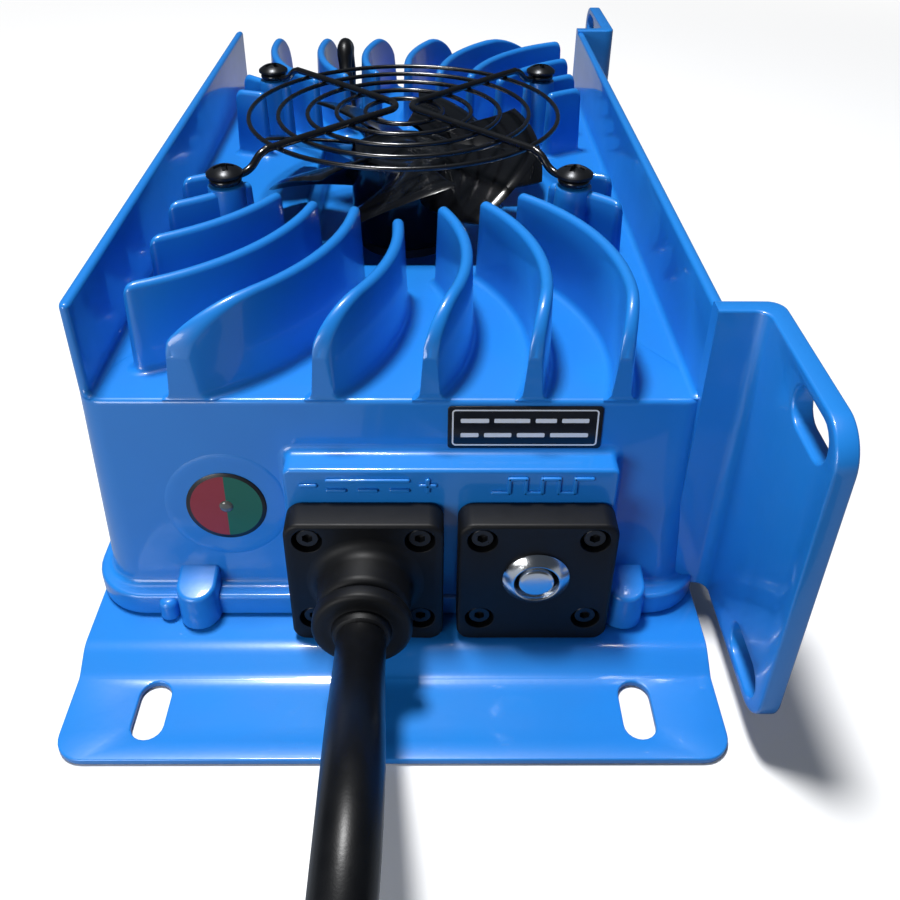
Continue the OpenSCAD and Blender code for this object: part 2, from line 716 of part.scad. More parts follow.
module fan_rotor() {
  color([0.05, 0.05, 0.06]) {
    difference() {
      translate([0, 0, hub_z]) cylinder(r = hub_r, h = hub_h, $fn = 64);
      translate([0, 0, hub_z - 1]) cylinder(r = stator_r + 1, h = hub_h - hub_wall + 1, $fn = 64);
      translate([0, 0, hub_z - 1]) cylinder(r = shaft_r + 0.01, h = hub_h, $fn = 32);
    }
    difference() {
      translate([0, 0, hub_z]) for (i = [0:blade_n - 1]) rotate(360 * i / blade_n) blade();
      translate([0, 0, hub_z - 1]) cylinder(r = hub_r - 1, h = hub_h + 20, $fn = 64);
    }
  }
}

// Lead of the fan, from the stator over the deck and down through it
lead_low = well_z + lead_r + 0.4;
lead_deck = deck_z + lead_r + 0.5;
lead_points = [[-4.9, 16.7, lead_low], [-9, 30, lead_low], [-13.6, 46, lead_low],
               [-15.2, 51.5, well_z + 5], [-15.5, 52.8, well_z + 12], [-15.8, 53.8, deck_z + 0.5],
               [-16.6, 57, deck_z + 4], [-18.4, 63, deck_z + 4], [-21.5, 72, lead_deck],
               [-25, 82, deck_z + 4], [-27.4, 92, deck_z + 13], [-28.2, 100, deck_z + 21],
               [-27.9, 108, deck_z + 18], [lead_hole[0] - 0.1, lead_hole[1] - 0.8, deck_z + 7],
               [lead_hole[0], lead_hole[1] - 0.2, deck_z], [lead_hole[0], lead_hole[1], deck_z - 8]];
module fan_lead() {
  color(black) sweep_tube(spline(lead_points, 3), lead_r, 8);
}

// Circuit board under the posts, with its parts standing on it
board_w = 140;
board_l = 220;
top_z = board_z + board_t;
module circuit_board() {
  color("darkgreen") difference() {
    translate([-board_w / 2, -board_l / 2, board_z]) cube([board_w, board_l, board_t]);
    for (x = [-1, 1], y = [-1, 1]) translate([x * post_x, y * post_y, board_z - 1])
      cylinder(r = 1.8, h = board_t + 2, $fn = 32);
  }
}
module board_screws() {
  color(steel) for (x = [-1, 1], y = [-1, 1]) translate([x * post_x, y * post_y, board_z])
    mirror([0, 0, 1]) pan_screw(3, 1.8, 1.5, 8);
}
module transformer() {
  color("dimgray") translate([0, -62, top_z]) {
    translate([-24, -20, 0]) cube([48, 40, 4]);
    translate([-20, -17, 4]) cube([40, 8, 28]);
    translate([-20, 9, 4]) cube([40, 8, 28]);
    translate([0, 0, 4]) cylinder(r = 14, h = 28, $fn = 48);
    translate([-20, -17, 28]) cube([40, 34, 5]);
  }
}
module output_choke() {
  color("goldenrod") translate([-32, 60, top_z]) rotate_extrude($fn = 64) translate([7, 0]) square([10, 14]);
}
module capacitors() {
  color("navy") for (x = [10, 36], y = [48, 76]) translate([x, y, top_z]) cylinder(r = 11, h = 32, $fn = 48);
}
spreader_x = board_w / 2 - 8;
module heat_spreader() {
  color("silver") for (s = [-1, 1]) translate([s * (spreader_x + 3) - 3, -60, top_z]) cube([6, 120, 26]);
}
module power_transistors() {
  color(black) for (s = [-1, 1], y = [-45, -15, 15, 45])
    translate([s * (spreader_x - 2.5) - 2.5, y - 8, top_z]) cube([5, 16, 21]);
}

// Input gland on the rear, without its cord
module input_gland() {
  color(black) translate([0, half_l + 7, input_z]) rotate([-90, 0, 0]) difference() {
    union() {
      cylinder(r = 13, h = 5, $fn = 6);
      translate([0, 0, -26]) cylinder(r = 10, h = 26 + eps, $fn = 48);
      translate([0, 0, 5]) cylinder(r = 11, h = 9, $fn = 48);
      translate([0, 0, 14]) cylinder(r1 = 11, r2 = 8, h = 5, $fn = 48);
    }
    translate([0, 0, -30]) cylinder(r = 6.2, h = 60, $fn = 48);
  }
}
module input_gland_nut() {
  color(black) translate([0, half_l - shell_t - 6, input_z]) rotate([90, 0, 0]) difference() {
    cylinder(r = 14, h = 5, $fn = 6);
    translate([0, 0, -1]) cylinder(r = 10 + fit, h = 8, $fn = 48);
  }
}

// Cord: out of the gland, up over a low arch and down to the floor, then into its coil
cord_r = cord_d / 2;
cord_start = [-7.7, -155.8, 27.4];
cord_points = [[-7.7, -157, 27.4], [-7.8, -160, 27.5], [-9.8, -168, 29.4], [-10.6, -180, 33],
               [-10.7, -190, 35], [-10.8, -201, 34], [-10.6, -212, 30], [-10.2, -225, 24],
               [-10, -238, 16], [-10, -250, 9.2], [-10, -264, 6.4]];
coil_turn_r = 68;
coil_x = 64.2;
coil_y = -307.5;
module output_cord() {
  color(black) sweep_tube(concat([cord_start], spline(cord_points, 3)), cord_r, 10);
}
// Outer shape of three turns: two beside each other and one on top of them
module output_cord_coil() {
  color(black) translate([coil_x, coil_y, 0]) rotate_extrude($fn = 96)
    polygon([[coil_turn_r - cord_d, 0], [coil_turn_r + cord_d, 0], [coil_turn_r + cord_d, cord_d],
             [coil_turn_r + cord_r, 23], [coil_turn_r - cord_r, 23], [coil_turn_r - cord_d, cord_d]]);
}

// Two-pole plug inside the coil
plug_l = 44;
plug_w = 26;
plug_h = 16;
coil_in_r = coil_turn_r - cord_d;
plug_gap = 0.3;
plug_x = coil_x + plug_w / 2 - sqrt(pow(coil_in_r - plug_gap, 2) - pow(plug_l / 2, 2));
plug_at = [plug_x, coil_y];
module cord_plug() {
  color("gray") translate([plug_at[0], plug_at[1], 0]) difference() {
    union() {
      translate([-plug_w / 2, -plug_l / 2, 0]) cube([plug_w, plug_l, plug_h]);
      translate([0, plug_l / 2 - eps, plug_h / 2]) rotate([-90, 0, 0]) cylinder(r = 7.6, h = 5, $fn = 48);
    }
    for (x = [-1, 1]) translate([x * 6 - 4, -plug_l / 2 - 1, plug_h / 2 - 5]) cube([8, 15, 10]);
  }
}

housing();
base_gasket();
base_plate();
base_screws();
output_plate();
output_plate_screws();
output_gland();
signal_plate();
signal_plate_screws();
button_bezel();
button_cap();
button_nut();
indicator_disc();
voltage_label();
fan_guard();
guard_screws();
fan_stator();
fan_bearings();
fan_shaft();
fan_rotor();
fan_screws();
fan_lead();
circuit_board();
board_screws();
transformer();
output_choke();
capacitors();
power_transistors();
heat_spreader();
input_gland();
input_gland_nut();
output_cord();
output_cord_coil();
cord_plug();
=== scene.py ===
"""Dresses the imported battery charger: its stage, cord, casting, fan, guard, plates, prints and finishes."""

import json
import math

import bmesh
import bpy
import numpy as np
from bpy.props import FloatProperty, IntProperty, PointerProperty, StringProperty
from mathutils import Matrix, Vector
from mathutils.geometry import delaunay_2d_cdt


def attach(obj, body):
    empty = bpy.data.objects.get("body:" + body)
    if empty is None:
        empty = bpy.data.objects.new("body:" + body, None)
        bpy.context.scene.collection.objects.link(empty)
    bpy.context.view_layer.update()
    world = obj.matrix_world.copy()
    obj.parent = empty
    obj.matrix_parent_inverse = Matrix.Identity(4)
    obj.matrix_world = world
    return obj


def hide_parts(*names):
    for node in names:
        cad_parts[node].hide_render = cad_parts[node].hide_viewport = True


bl_info = {
    "name": "Fan-cooled charger",
    "version": (1, 0, 0),
    "blender": (4, 5, 0),
    "location": "View3D > Sidebar > Charger",
    "description": "Builds the looks of a finned, fan-cooled battery charger around its frame",
    "category": "Object",
}

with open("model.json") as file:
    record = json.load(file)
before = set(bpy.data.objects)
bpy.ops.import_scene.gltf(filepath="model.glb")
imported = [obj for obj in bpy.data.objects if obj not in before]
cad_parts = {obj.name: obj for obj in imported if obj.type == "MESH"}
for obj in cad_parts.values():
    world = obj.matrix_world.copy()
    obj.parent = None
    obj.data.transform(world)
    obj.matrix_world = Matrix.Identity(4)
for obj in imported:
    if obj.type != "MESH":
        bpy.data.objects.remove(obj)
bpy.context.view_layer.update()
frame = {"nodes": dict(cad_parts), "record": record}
MM = 0.001
CHARGER, FAN, BUTTON = "charger", "fan", "button"

# Sizes that several pieces share, in millimetres, in the frame's axes

# Casting: its half sizes at the top, the side walls' inner faces, heights, foot ledge, drafts, corners
# that grow downwards, and the fan's well
HALF_W, HALF_L = 79.6, 127.5
WALL_IN = 76.6
BODY_Z, LEDGE_Z, DECK_Z, WALL_Z = 7.2, 14.2, 74.2, 100.2
LEDGE_X, LEDGE_Y = 86.0, 137.3
SIDE_LEAN, END_LEAN = math.tan(math.radians(1.6)), math.tan(math.radians(4.5))
CORNER_R, CORNER_GROWTH = 5, 0.065
WELL_R, WELL_Z = 61.5, 57.2
# Front: raised panel, connector plates with the cord's and the button's height on them, the plates'
# screw holes, and the middles of the marks, the label and the sticker
PANEL_X, PANEL_Y, PANEL_Z = (-28.3, 57.4), -136.5, 59.0
COVER_Y, COVER_Z = -145.7, 27.5
OUTPUT_X, SIGNAL_X = -7.7, 36.8
CORD_UP, BUTTON_UP = 1.2, 2.7
HOLE_X, HOLE_Y, HOLE_UP = 14.3, 14.2, 1.7
MARKS_Z, LABEL_AT, STICKER_AT = 54.1, (33.3, 66.4), (-45.2, 41.5)
REAR_GLAND_Z = 30
# Fan and guard: the guard's screws, posts, eyes, rings and carriers, and the hub and the blades
SCREW_XY = 52.4
BOSS_Z, EYE_Z, RING_Z, LEG_Z = 100.2, 101.75, 105.2, 107.0
HUB_Z, HUB_R, HUB_H, FAN_R = 61.7, 19.0, 30.5, 49.0
# Cord: its thickness, its coil, the coil's second layer, and the plug
CORD_D = 12.4
COIL_X, COIL_Y, COIL_R = 64.2, -307.5, 68.0
COIL_PITCH = CORD_D * 0.88
PLUG_X, PLUG_Z = 26.47, 8


def srgb(code):
    """Linear red, green, blue and alpha of a colour written as six sRGB hex digits."""
    channels = [int(code[i : i + 2], 16) / 255 for i in (0, 2, 4)]
    return [c / 12.92 if c <= 0.04045 else ((c + 0.055) / 1.055) ** 2.4 for c in channels] + [1.0]


# Meshes


def link(name, part, slot, replaces=(), body=CHARGER, sharp=38, finish=None):
    """Object of a part's points and faces that rides on a body and stands for nodes of the frame.

    It takes the finish of its slot, or a print's.
    """
    mesh = mesh_from(name, *part, sharp)
    obj = bpy.data.objects.new(name, mesh)
    bpy.context.scene.collection.objects.link(obj)
    mesh.materials.append(FINISH[finish or slot])
    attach(obj, body)
    if replaces:
        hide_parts(*replaces)
    return obj


def mesh_from(name, points, faces, sharp):
    """Mesh from points in millimetres, with outward faces, smooth but for edges over an angle."""
    mesh = bpy.data.meshes.new(name)
    mesh.from_pydata((np.asarray(points, float) * MM).tolist(), [], faces)
    work = bmesh.new()
    work.from_mesh(mesh)
    bmesh.ops.remove_doubles(work, verts=work.verts, dist=1e-7)
    bmesh.ops.dissolve_degenerate(work, edges=work.edges, dist=1e-8)
    bmesh.ops.recalc_face_normals(work, faces=work.faces)
    work.to_mesh(mesh)
    work.free()
    mesh.set_sharp_from_angle(angle=math.radians(sharp))
    return mesh


def grid_faces(rows, cols, close_rows=False, close_cols=False):
    """Four-sided faces of a grid of rows by cols points, joined round where a direction closes."""
    i = np.arange(rows if close_rows else rows - 1)[:, None]
    j = np.arange(cols if close_cols else cols - 1)[None, :]
    i2, j2 = (i + 1) % rows, (j + 1) % cols
    quads = np.stack([i * cols + j, i * cols + j2, i2 * cols + j2, i2 * cols + j], -1)
    return quads.reshape(-1, 4).tolist()


def skin(rows, caps=(True, True)):
    """Points and faces of a skin through closed loops of as many points each, with flat ends."""
    count = len(rows[0])
    faces = grid_faces(len(rows), count, close_cols=True)
    if caps[0]:
        faces.append(list(range(count)))
    if caps[1]:
        faces.append(list(range((len(rows) - 1) * count, len(rows) * count)))
    return np.vstack(rows), faces


def join(parts):
    """One part from several, side by side in one mesh."""
    points, faces, start = [], [], 0
    for part_points, part_faces in parts:
        points.append(np.asarray(part_points, float))
        faces += [[i + start for i in face] for face in part_faces]
        start += len(part_points)
    return np.vstack(points), faces


def moved(part, turn=None, shift=(0, 0, 0)):
    """A part turned by a 3 by 3 matrix and then shifted."""
    points = np.asarray(part[0], float)
    if turn is not None:
        points = points @ np.asarray(turn, float).T
    return points + np.asarray(shift, float), part[1]


def about_z(degrees):
    """Matrix of a turn about the Z axis."""
    c, s = math.cos(math.radians(degrees)), math.sin(math.radians(degrees))
    return [[c, -s, 0], [s, c, 0], [0, 0, 1]]


# Turns that point a part's Z axis out of the front, the rear or the side or along Y, and two mirrors
FACE_FRONT = [[1, 0, 0], [0, 0, -1], [0, 1, 0]]
FACE_REAR = [[-1, 0, 0], [0, 0, 1], [0, 1, 0]]
FACE_SIDE = [[0, 0, 1], [0, 1, 0], [-1, 0, 0]]
ALONG_Y = [[1, 0, 0], [0, 0, 1], [0, 1, 0]]
MIRROR_X = [[-1, 0, 0], [0, 1, 0], [0, 0, 1]]
MIRROR_Y = [[1, 0, 0], [0, -1, 0], [0, 0, 1]]


def at_corners(part, x, y, z=0.0, up=0.0):
    """The part four times, at the corners of a rectangle round the origin that is shifted up."""
    return [moved(part, shift=(i * x, j * y + up, z)) for i in (-1, 1) for j in (-1, 1)]


def bend(start, stop, steps):
    """Cosine and sine at even steps from one angle in degrees to another."""
    turn = np.radians(np.linspace(start, stop, steps + 1))
    return list(zip(np.cos(turn), np.sin(turn)))


def all_round(count):
    """Even angles round a full turn, in radians."""
    return np.linspace(0, 2 * np.pi, count, endpoint=False)


def unit(turn):
    """Vectors of length one at angles in radians."""
    return np.stack([np.cos(turn), np.sin(turn)], -1)


def fillet(r, z, size, steps):
    """Quarter circle from a flat at a height up into a wall of radius r, wider by its size below."""
    return [(r + size * (1 - s), z + size * (1 - c)) for c, s in bend(0, 90, steps)]


def brow(r, z, size, steps):
    """Quarter circle from a wall of radius r over on to a flat at a height."""
    return [(r - size * (1 - c), z - size + size * s) for c, s in bend(0, 90, steps)]


def round_corners(half_x, half_y, r, steps, centre=(0, 0)):
    """Loop round a rectangle with round corners, and the outward direction at each of its points."""
    turn = np.radians(np.concatenate([np.linspace(90 * k, 90 * k + 90, steps + 1) for k in range(4)]))
    out = unit(turn)
    sign = np.repeat([[1, 1], [-1, 1], [-1, -1], [1, -1]], steps + 1, axis=0)
    return np.asarray(centre, float) + sign * [half_x - r, half_y - r] + r * out, out


def stadium(width, length, centre=(0, 0), steps=10):
    """Loop round a slot that is long along the first axis, with directions into the slot's wall."""
    turn = np.radians(np.concatenate([np.linspace(-90, 90, steps + 1), np.linspace(90, 270, steps + 1)]))
    out = unit(turn)
    ends = np.repeat([[1, 0], [-1, 0]], steps + 1, axis=0) * (length - width) / 2
    return np.asarray(centre, float) + ends + out * width / 2, -out


def at_height(loop, z):
    """Points of a flat loop at a height or at one height for each point."""
    return np.column_stack([loop, np.broadcast_to(z, len(loop))])


def turned(profile, around, scallop=None):
    """Profile of (radius, height) pairs turned about Z; scallop gives a radius factor at each angle."""
    profile = np.asarray(profile, float)
    angle = all_round(around)[None, :]
    r, z = profile[:, :1], profile[:, 1:]
    if scallop is not None:
        r = r * scallop(angle)
    return skin(np.stack([r * np.cos(angle), r * np.sin(angle), z + 0 * angle], -1))


def curve_through(points, steps):
    """Smooth curve through points: each span is a cubic whose slopes are those of its neighbours."""
    p = np.asarray(points, float)
    ends = np.vstack([p[:1], p, p[-1:]])
    a, b, c, d = ends[:-3, None], ends[1:-2, None], ends[2:-1, None], ends[3:, None]
    t = np.linspace(0, 1, steps, endpoint=False)[None, :, None]
    cubic = 0.5 * (2 * b + (c - a) * t + (2 * a - 5 * b + 4 * c - d) * t**2 + (3 * b - a - 3 * c + d) * t**3)
    return np.vstack([cubic.reshape(-1, 3), p[-1:]])


def path_frames(path):
    """Two unit vectors across a path at each of its points, carried along it without twist."""
    tangents = np.gradient(path, axis=0)
    tangents /= np.linalg.norm(tangents, axis=1)[:, None]
    side = np.cross(tangents[0], [0, 0, 1])
    if np.linalg.norm(side) < 0.1:
        side = np.cross(tangents[0], [1, 0, 0])
    sides = np.empty_like(path)
    for i, tangent in enumerate(tangents):
        side = side - tangent * (side @ tangent)
        side = side / np.linalg.norm(side)
        sides[i] = side
    return sides, np.cross(sides, tangents)


def tube(path, radius, around):
    """Circle of a radius, or of one radius at each point, carried along a path, with flat ends."""
    path = np.asarray(path, float)
    sides, ups = path_frames(path)
    turn = all_round(around)[None, :, None]
    r = np.broadcast_to(np.asarray(radius, float), (len(path),))[:, None, None]
    return skin(path[:, None] + r * (np.cos(turn) * sides[:, None] + np.sin(turn) * ups[:, None]))


def wire_ring(radius, wire, around=120):
    """Ring of round wire in the plane of X and Y: a small circle turned about the Z axis."""
    section = 12
    a, b = all_round(around)[:, None], all_round(section)[None, :]
    r = radius + wire * np.cos(b)
    points = np.stack([r * np.cos(a), r * np.sin(a), wire * np.sin(b) + 0 * a], -1).reshape(-1, 3)
    return points, grid_faces(around, section, True, True)


def filled(loops, ties=()):
    """Triangles between an outer loop and the loops of its holes, over the loops' points in order."""
    flat = np.vstack(loops)
    edges, start = [], 0
    for loop in loops:
        n = len(loop)
        edges += [(start + i, start + (i + 1) % n) for i in range(n)]
        start += n
    out, _, faces, source, _, _ = delaunay_2d_cdt([Vector(p) for p in flat], edges + list(ties), [], 0, 1e-5)
    out = np.array([list(p) for p in out])
    faces = np.array(faces)
    a, b = flat[[e[0] for e in edges]], flat[[e[1] for e in edges]]
    middle = out[faces].mean(1)
    x, y = middle[:, :1], middle[:, 1:]
    crosses = (a[:, 1] > y) != (b[:, 1] > y)
    with np.errstate(divide="ignore", invalid="ignore"):
        at = a[:, 0] + (y - a[:, 1]) * (b[:, 0] - a[:, 0]) / (b[:, 1] - a[:, 1])
    inside = (crosses & (x < at)).sum(1) % 2 == 1
    names = np.array([s[0] for s in source])
    return names[faces[inside]].tolist()


def plate(loops, thick, rim, ties=(), steps=3):
    """Plate with holes: its rims are quarter circles, and its two flats are filled between them.

    Loops are (points, directions out of the material). The plate lies in the plane of its first two
    axes, half above and half below zero.
    """
    half = thick / 2
    rims = np.broadcast_to(rim, (len(loops),))
    points, faces, start, ends = [], [], 0, ([], [])
    for (loop, out), r in zip(loops, rims):
        low = [(r * (1 - s), -half + r * (1 - c)) for c, s in bend(0, 90, steps)]
        profile = low + [(inset, -height) for inset, height in reversed(low)]
        count = len(loop)
        points += [at_height(loop - inset * out, height) for inset, height in profile]
        faces += (np.array(grid_faces(len(profile), count, close_cols=True)) + start).tolist()
        ends[0].append(np.arange(count) + start)
        ends[1].append(np.arange(count) + start + (len(profile) - 1) * count)
        start += len(profile) * count
    triangles = filled([loop - r * out for (loop, out), r in zip(loops, rims)], ties)
    for end in ends:
        faces += np.concatenate(end)[np.array(triangles)].tolist()
    return np.vstack(points), faces


def with_stations(loop, axis, values):
    """The loop with more points where its straight sides pass the given values of one coordinate."""
    points, out = loop
    for value in values:
        nxt = np.roll(points, -1, axis=0)
        hit = np.where((points[:, axis] - value) * (nxt[:, axis] - value) < -1e-9)[0]
        for i in hit[::-1]:
            t = (value - points[i, axis]) / (nxt[i, axis] - points[i, axis])
            points = np.insert(points, i + 1, points[i] + t * (nxt[i] - points[i]), axis=0)
            out = np.insert(out, i + 1, out[i], axis=0)
            nxt = np.roll(points, -1, axis=0)
    return points, out


def station_ties(points, axis, values):
    """Pairs of the loop's points that lie opposite each other at the given coordinates."""
    pairs = [np.where(np.abs(points[:, axis] - value) < 1e-6)[0] for value in values]
    return [(int(pair[0]), int(pair[-1])) for pair in pairs if len(pair) > 1]


def screw_head(r, h, recess, recess_depth, crown, around=48):
    """Head of a screw: loops that pass from a recess's outline to the round rim and down its side.

    The recess is a function of the angle that gives its radius, and the top is part of a ball whose
    radius is the crown.
    """
    angle = all_round(around)
    ring = unit(angle)
    inner, rim = recess(angle)[:, None] * ring, ring * r * 0.93

    def top(flat):
        d = np.linalg.norm(flat, axis=1)
        return h - crown + np.sqrt(crown**2 - d**2)

    rows = [at_height(inner * 0.9, h - recess_depth), at_height(inner, top(inner) - 0.1)]
    for k in (0, 0.35, 0.7, 1):
        flat = inner * (1.04 + 0.3 * k) * (1 - k) + rim * k
        rows.append(at_height(flat, top(flat)))
    edge = top(rim)[0]
    for share, z in ((0.99, edge - 0.06 * r), (1, edge - 0.16 * r), (1, 0)):
        rows.append(at_height(ring * r * share, z))
    return skin(rows)


def cross_slot(width, arm):
    """Radius of a cross-shaped recess at each angle: the edge of the nearer of two crossed bars."""

    def radius(angle):
        c, s = np.abs(np.cos(angle)), np.abs(np.sin(angle))
        big, small = np.maximum(c, s), np.minimum(c, s)
        return np.minimum(arm / big, width / np.maximum(small, 1e-3))

    return radius


def hex_socket(r):
    """Radius of a six-sided recess at each angle."""

    def radius(angle):
        part = (angle + np.pi / 6) % (np.pi / 3) - np.pi / 6
        return r * math.cos(math.pi / 6) / np.cos(part)

    return radius


# Casting


def body_size(z, inset=0.0):
    """Half width, half length and corner radius of the casting's drafted outside at a height."""
    down = WALL_Z - z
    half_w, half_l = HALF_W + down * SIDE_LEAN, HALF_L + (DECK_Z - z) * END_LEAN
    return half_w - inset, half_l - inset, CORNER_R + CORNER_GROWTH * down - inset


def body_row(z, inset=0.0, end_inset=0.0):
    """One loop round the casting at a height."""
    x, y, r = body_size(z, inset)
    return at_height(round_corners(x, y - end_inset, r, 10)[0], z)


def circle_row(like, r, z):
    """Circle with as many points as a loop, each in the direction of the loop's point."""
    return at_height(r * unit(np.arctan2(like[:, 1], like[:, 0])), z)


def casting_shell():
    """Shell of the casting: loops from the fan's well over the deck, down the outside and up inside.

    Quarter circles join the well's floor and wall, the wall and the deck, the deck and the end faces,
    and the sides and the foot ledge; straight loops lie between them.
    """
    like, root, rim, edge = body_row(DECK_Z), 4, 2.5, 1.2
    rows = [circle_row(like, WELL_R - root, WELL_Z)]
    rows += [circle_row(like, WELL_R - root + root * s, WELL_Z + root - root * c) for c, s in bend(0, 90, 6)]
    rows += [circle_row(like, WELL_R + rim - rim * c, DECK_Z - rim + rim * s) for c, s in bend(0, 90, 6)]
    rows += [rows[-1] * (1 - k) + body_row(DECK_Z, 0, edge) * k for k in (0.3, 0.65)]
    rows += [body_row(DECK_Z - edge + edge * c, 0, edge - edge * s) for c, s in bend(0, 90, 5)]
    rows += [body_row(z) for z in np.linspace(DECK_Z - 2, LEDGE_Z + 2.2, 7)]
    rows += [body_row(LEDGE_Z + 2 - 2 * s, -2 + 2 * c) for c, s in bend(12, 90, 5)]

    def ledge(inset, z):
        return at_height(round_corners(LEDGE_X - inset, LEDGE_Y - inset, 16 - inset, 10)[0], z)

    rows += [ledge(1.1 - 1.1 * s, LEDGE_Z - 1.1 + 1.1 * c) for c, s in bend(0, 90, 5)]
    rows += [ledge(0.5 - 0.5 * c, BODY_Z + 0.5 - 0.5 * s) for c, s in bend(0, 90, 3)]
    rows += [body_row(BODY_Z, 4), body_row(DECK_Z - 6, 4), body_row(DECK_Z - 4, 6)]
    rows += [circle_row(like, WELL_R + 4, DECK_Z - 4), circle_row(like, WELL_R + 4, WELL_Z - 4)]
    return skin(rows)


def wall_row(z, inner, inset=0.0):
    """Loop round a side wall: its outer corners follow the casting's, and its ends are round noses."""
    x, _, corner = body_size(z, inset)
    end, inner, nose = HALF_L - inset, inner + inset, 1.35 - inset
    cx, cy = x - corner, end - corner
    nose_x = inner + nose
    nose_y = cy + math.sqrt((corner - nose) ** 2 - (nose_x - cx) ** 2)
    meet = math.degrees(math.atan2(nose_y - cy, nose_x - cx))
    half = [(cx + corner * c, cy + corner * s) for c, s in bend(0, meet, 7)]
    half += [(nose_x + nose * c, nose_y + nose * s) for c, s in bend(meet, 180, 6)]
    half = np.array(half)
    return at_height(np.vstack([half, half[::-1] * [1, -1]]), z)


def side_wall():
    """Side wall on the deck: a foot with a fillet, a drafted outside and a rounded top edge."""
    root, edge = 1.8, 1.2
    rows = [wall_row(DECK_Z + root - root * c, WALL_IN - root * (1 - s)) for c, s in bend(0, 90, 5)]
    rows += [wall_row(z, WALL_IN) for z in np.linspace(DECK_Z + 4, WALL_Z - edge, 4)]
    rows += [wall_row(WALL_Z - edge + edge * s, WALL_IN, edge - edge * c) for c, s in bend(0, 90, 5)][1:]
    return skin(rows)


# Fins -5 to 5 of one half of the swirl: their turn away from the well's radius in degrees, the radius
# of their bow, where they start and end, and how far they fall to the ends, the sides and the well
FIN_LEAD = (0, 2, 5, 10, 8, 5, 14, 14, 14, 18, 19)
FIN_BEND = (70, 70, 70, 70, 71, 67.5, 63, 70, 71, 70, 70)
FIN_STEP, FIN_START, FIN_START_MIDDLE = 11, 67.8, 75
FIN_END = HALF_L - 0.7
FIN_ROOT = 2.1
END_FALL, SIDE_FALL, WELL_FALL = 12.5, 3.4, 0.7


def fin_side(k):
    """Distance from the middle plane at which fin k ends before a side wall."""
    return WALL_IN - (10.4 if k > 3 else 8.8)


def fin_line(k):
    """Centreline of fin k, an arc from the well to the fin field's edge, and its outward direction.

    Points are closer at its two ends, where its height changes.
    """
    size = bpy.context.scene.charger_sizes
    around, heading = math.radians(FIN_STEP * k), math.radians(FIN_STEP * k + FIN_LEAD[k + 5])
    start, bow = FIN_START_MIDDLE if k == 0 else FIN_START, FIN_BEND[k + 5]
    turn = heading - np.radians(np.linspace(0, 80, 801))
    centre = [start * math.sin(around) - bow * math.cos(heading),
              -start * math.cos(around) - bow * math.sin(heading)]
    line = centre + bow * unit(turn)
    nose = size.fin_ridge / 2 / MM
    beyond = (np.abs(line[:, 0]) > fin_side(k) - nose) | (np.abs(line[:, 1]) > FIN_END + 0.3)
    stop = np.argmax(beyond) if beyond.any() else len(line)
    head, tail = min(90, stop // 3), stop - min(150, stop // 3)
    picks = [np.linspace(0, head, 7), np.linspace(head, tail, 12)[1:], np.linspace(tail, stop - 1, 20)[1:]]
    picks = np.clip(np.concatenate(picks), 0, stop - 1).astype(int)
    return line[picks], unit(turn[picks]), turn[picks]


def fin(k):
    """Fin: an offset outline with round noses, drawn in from a fillet to a round ridge.

    Its height falls as a quarter ellipse towards the deck's front edge, the side and the well.
    """
    size = bpy.context.scene.charger_sizes
    high, ridge = size.fin_height / MM, size.fin_ridge / 2 / MM
    foot = ridge + 0.75
    line, out, turn = fin_line(k)
    noses = np.linspace(0, np.pi, 9)[1:-1]

    def nose(end, start, w):
        return line[end] + w * unit(start - noses)

    def outline(w):
        far, near = nose(-1, turn[-1], w), nose(0, turn[0] + np.pi, w)
        loop = np.vstack([line + w * out, far, (line - w * out)[::-1], near])
        loop[:, 1] = np.clip(loop[:, 1], -FIN_END - 0.15 * w, FIN_END)
        return loop

    def height(loop):
        end = (FIN_END - np.abs(loop[:, 1])) / END_FALL
        side = (fin_side(k) - np.abs(loop[:, 0])) / SIDE_FALL
        inner = ((loop - line[0]) @ [np.sin(turn[0]), -np.cos(turn[0])] + ridge) / 2.6
        falls = [(END_FALL, end), (SIDE_FALL, side), (WELL_FALL, inner)]
        return high - sum(drop * (1 - np.sqrt(1 - np.clip(1 - gone, 0, 1) ** 2)) for drop, gone in falls)

    rows = []
    for c, s in bend(0, 90, 4):
        rows.append(at_height(outline(foot + FIN_ROOT * (1 - s)), DECK_Z + FIN_ROOT * (1 - c)))
    for part in (0.3, 0.65, 1.0):
        loop = outline(foot + (ridge - foot) * part)
        rows.append(at_height(loop, DECK_Z + FIN_ROOT + (height(loop) - ridge - FIN_ROOT) * part))
    for c, s in bend(0, 90, 5)[1:]:
        loop = outline(ridge * max(c, 0.0))
        rows.append(at_height(loop, DECK_Z + height(loop) - ridge + ridge * s))
    return skin(rows, (True, False))


def guard_boss():
    """Post under one eye of the guard, with a fillet at its foot and an eased rim."""
    return turned(fillet(6.2, DECK_Z, 2, 4) + brow(5.5, BOSS_Z, 0.6, 3), 48)


def boss_row(x, tip, r, z, inset=0.0):
    """Loop of a half-round boss on the foot ledge, from inside the casting to its tip."""
    centre, back = tip + r, 1.5 - HALF_L
    half = [(x + (r - inset) * c, centre + (r - inset) * s) for c, s in bend(180, 360, 16)]
    loop = np.array([(x - r + inset, back)] + half + [(x + r - inset, back)])
    return at_height(loop, z if np.isscalar(z) else z(loop))


def ledge_boss(x):
    """Screw boss at the end of the foot ledge: a flat top that slopes down to a round front."""
    tip, r = -142.8, 5.4

    def top(drop):
        return lambda loop: 21.0 - drop - 0.23 * np.clip(-131.9 - loop[:, 1], -4, 20)

    rows = [boss_row(x, tip - 0.3, r + 0.2, BODY_Z + 0.3), boss_row(x, tip, r, top(1.0))]
    rows += [boss_row(x, tip, r, top(1 - s), 1 - c) for c, s in bend(0, 90, 4)[1:]]
    return skin(rows)


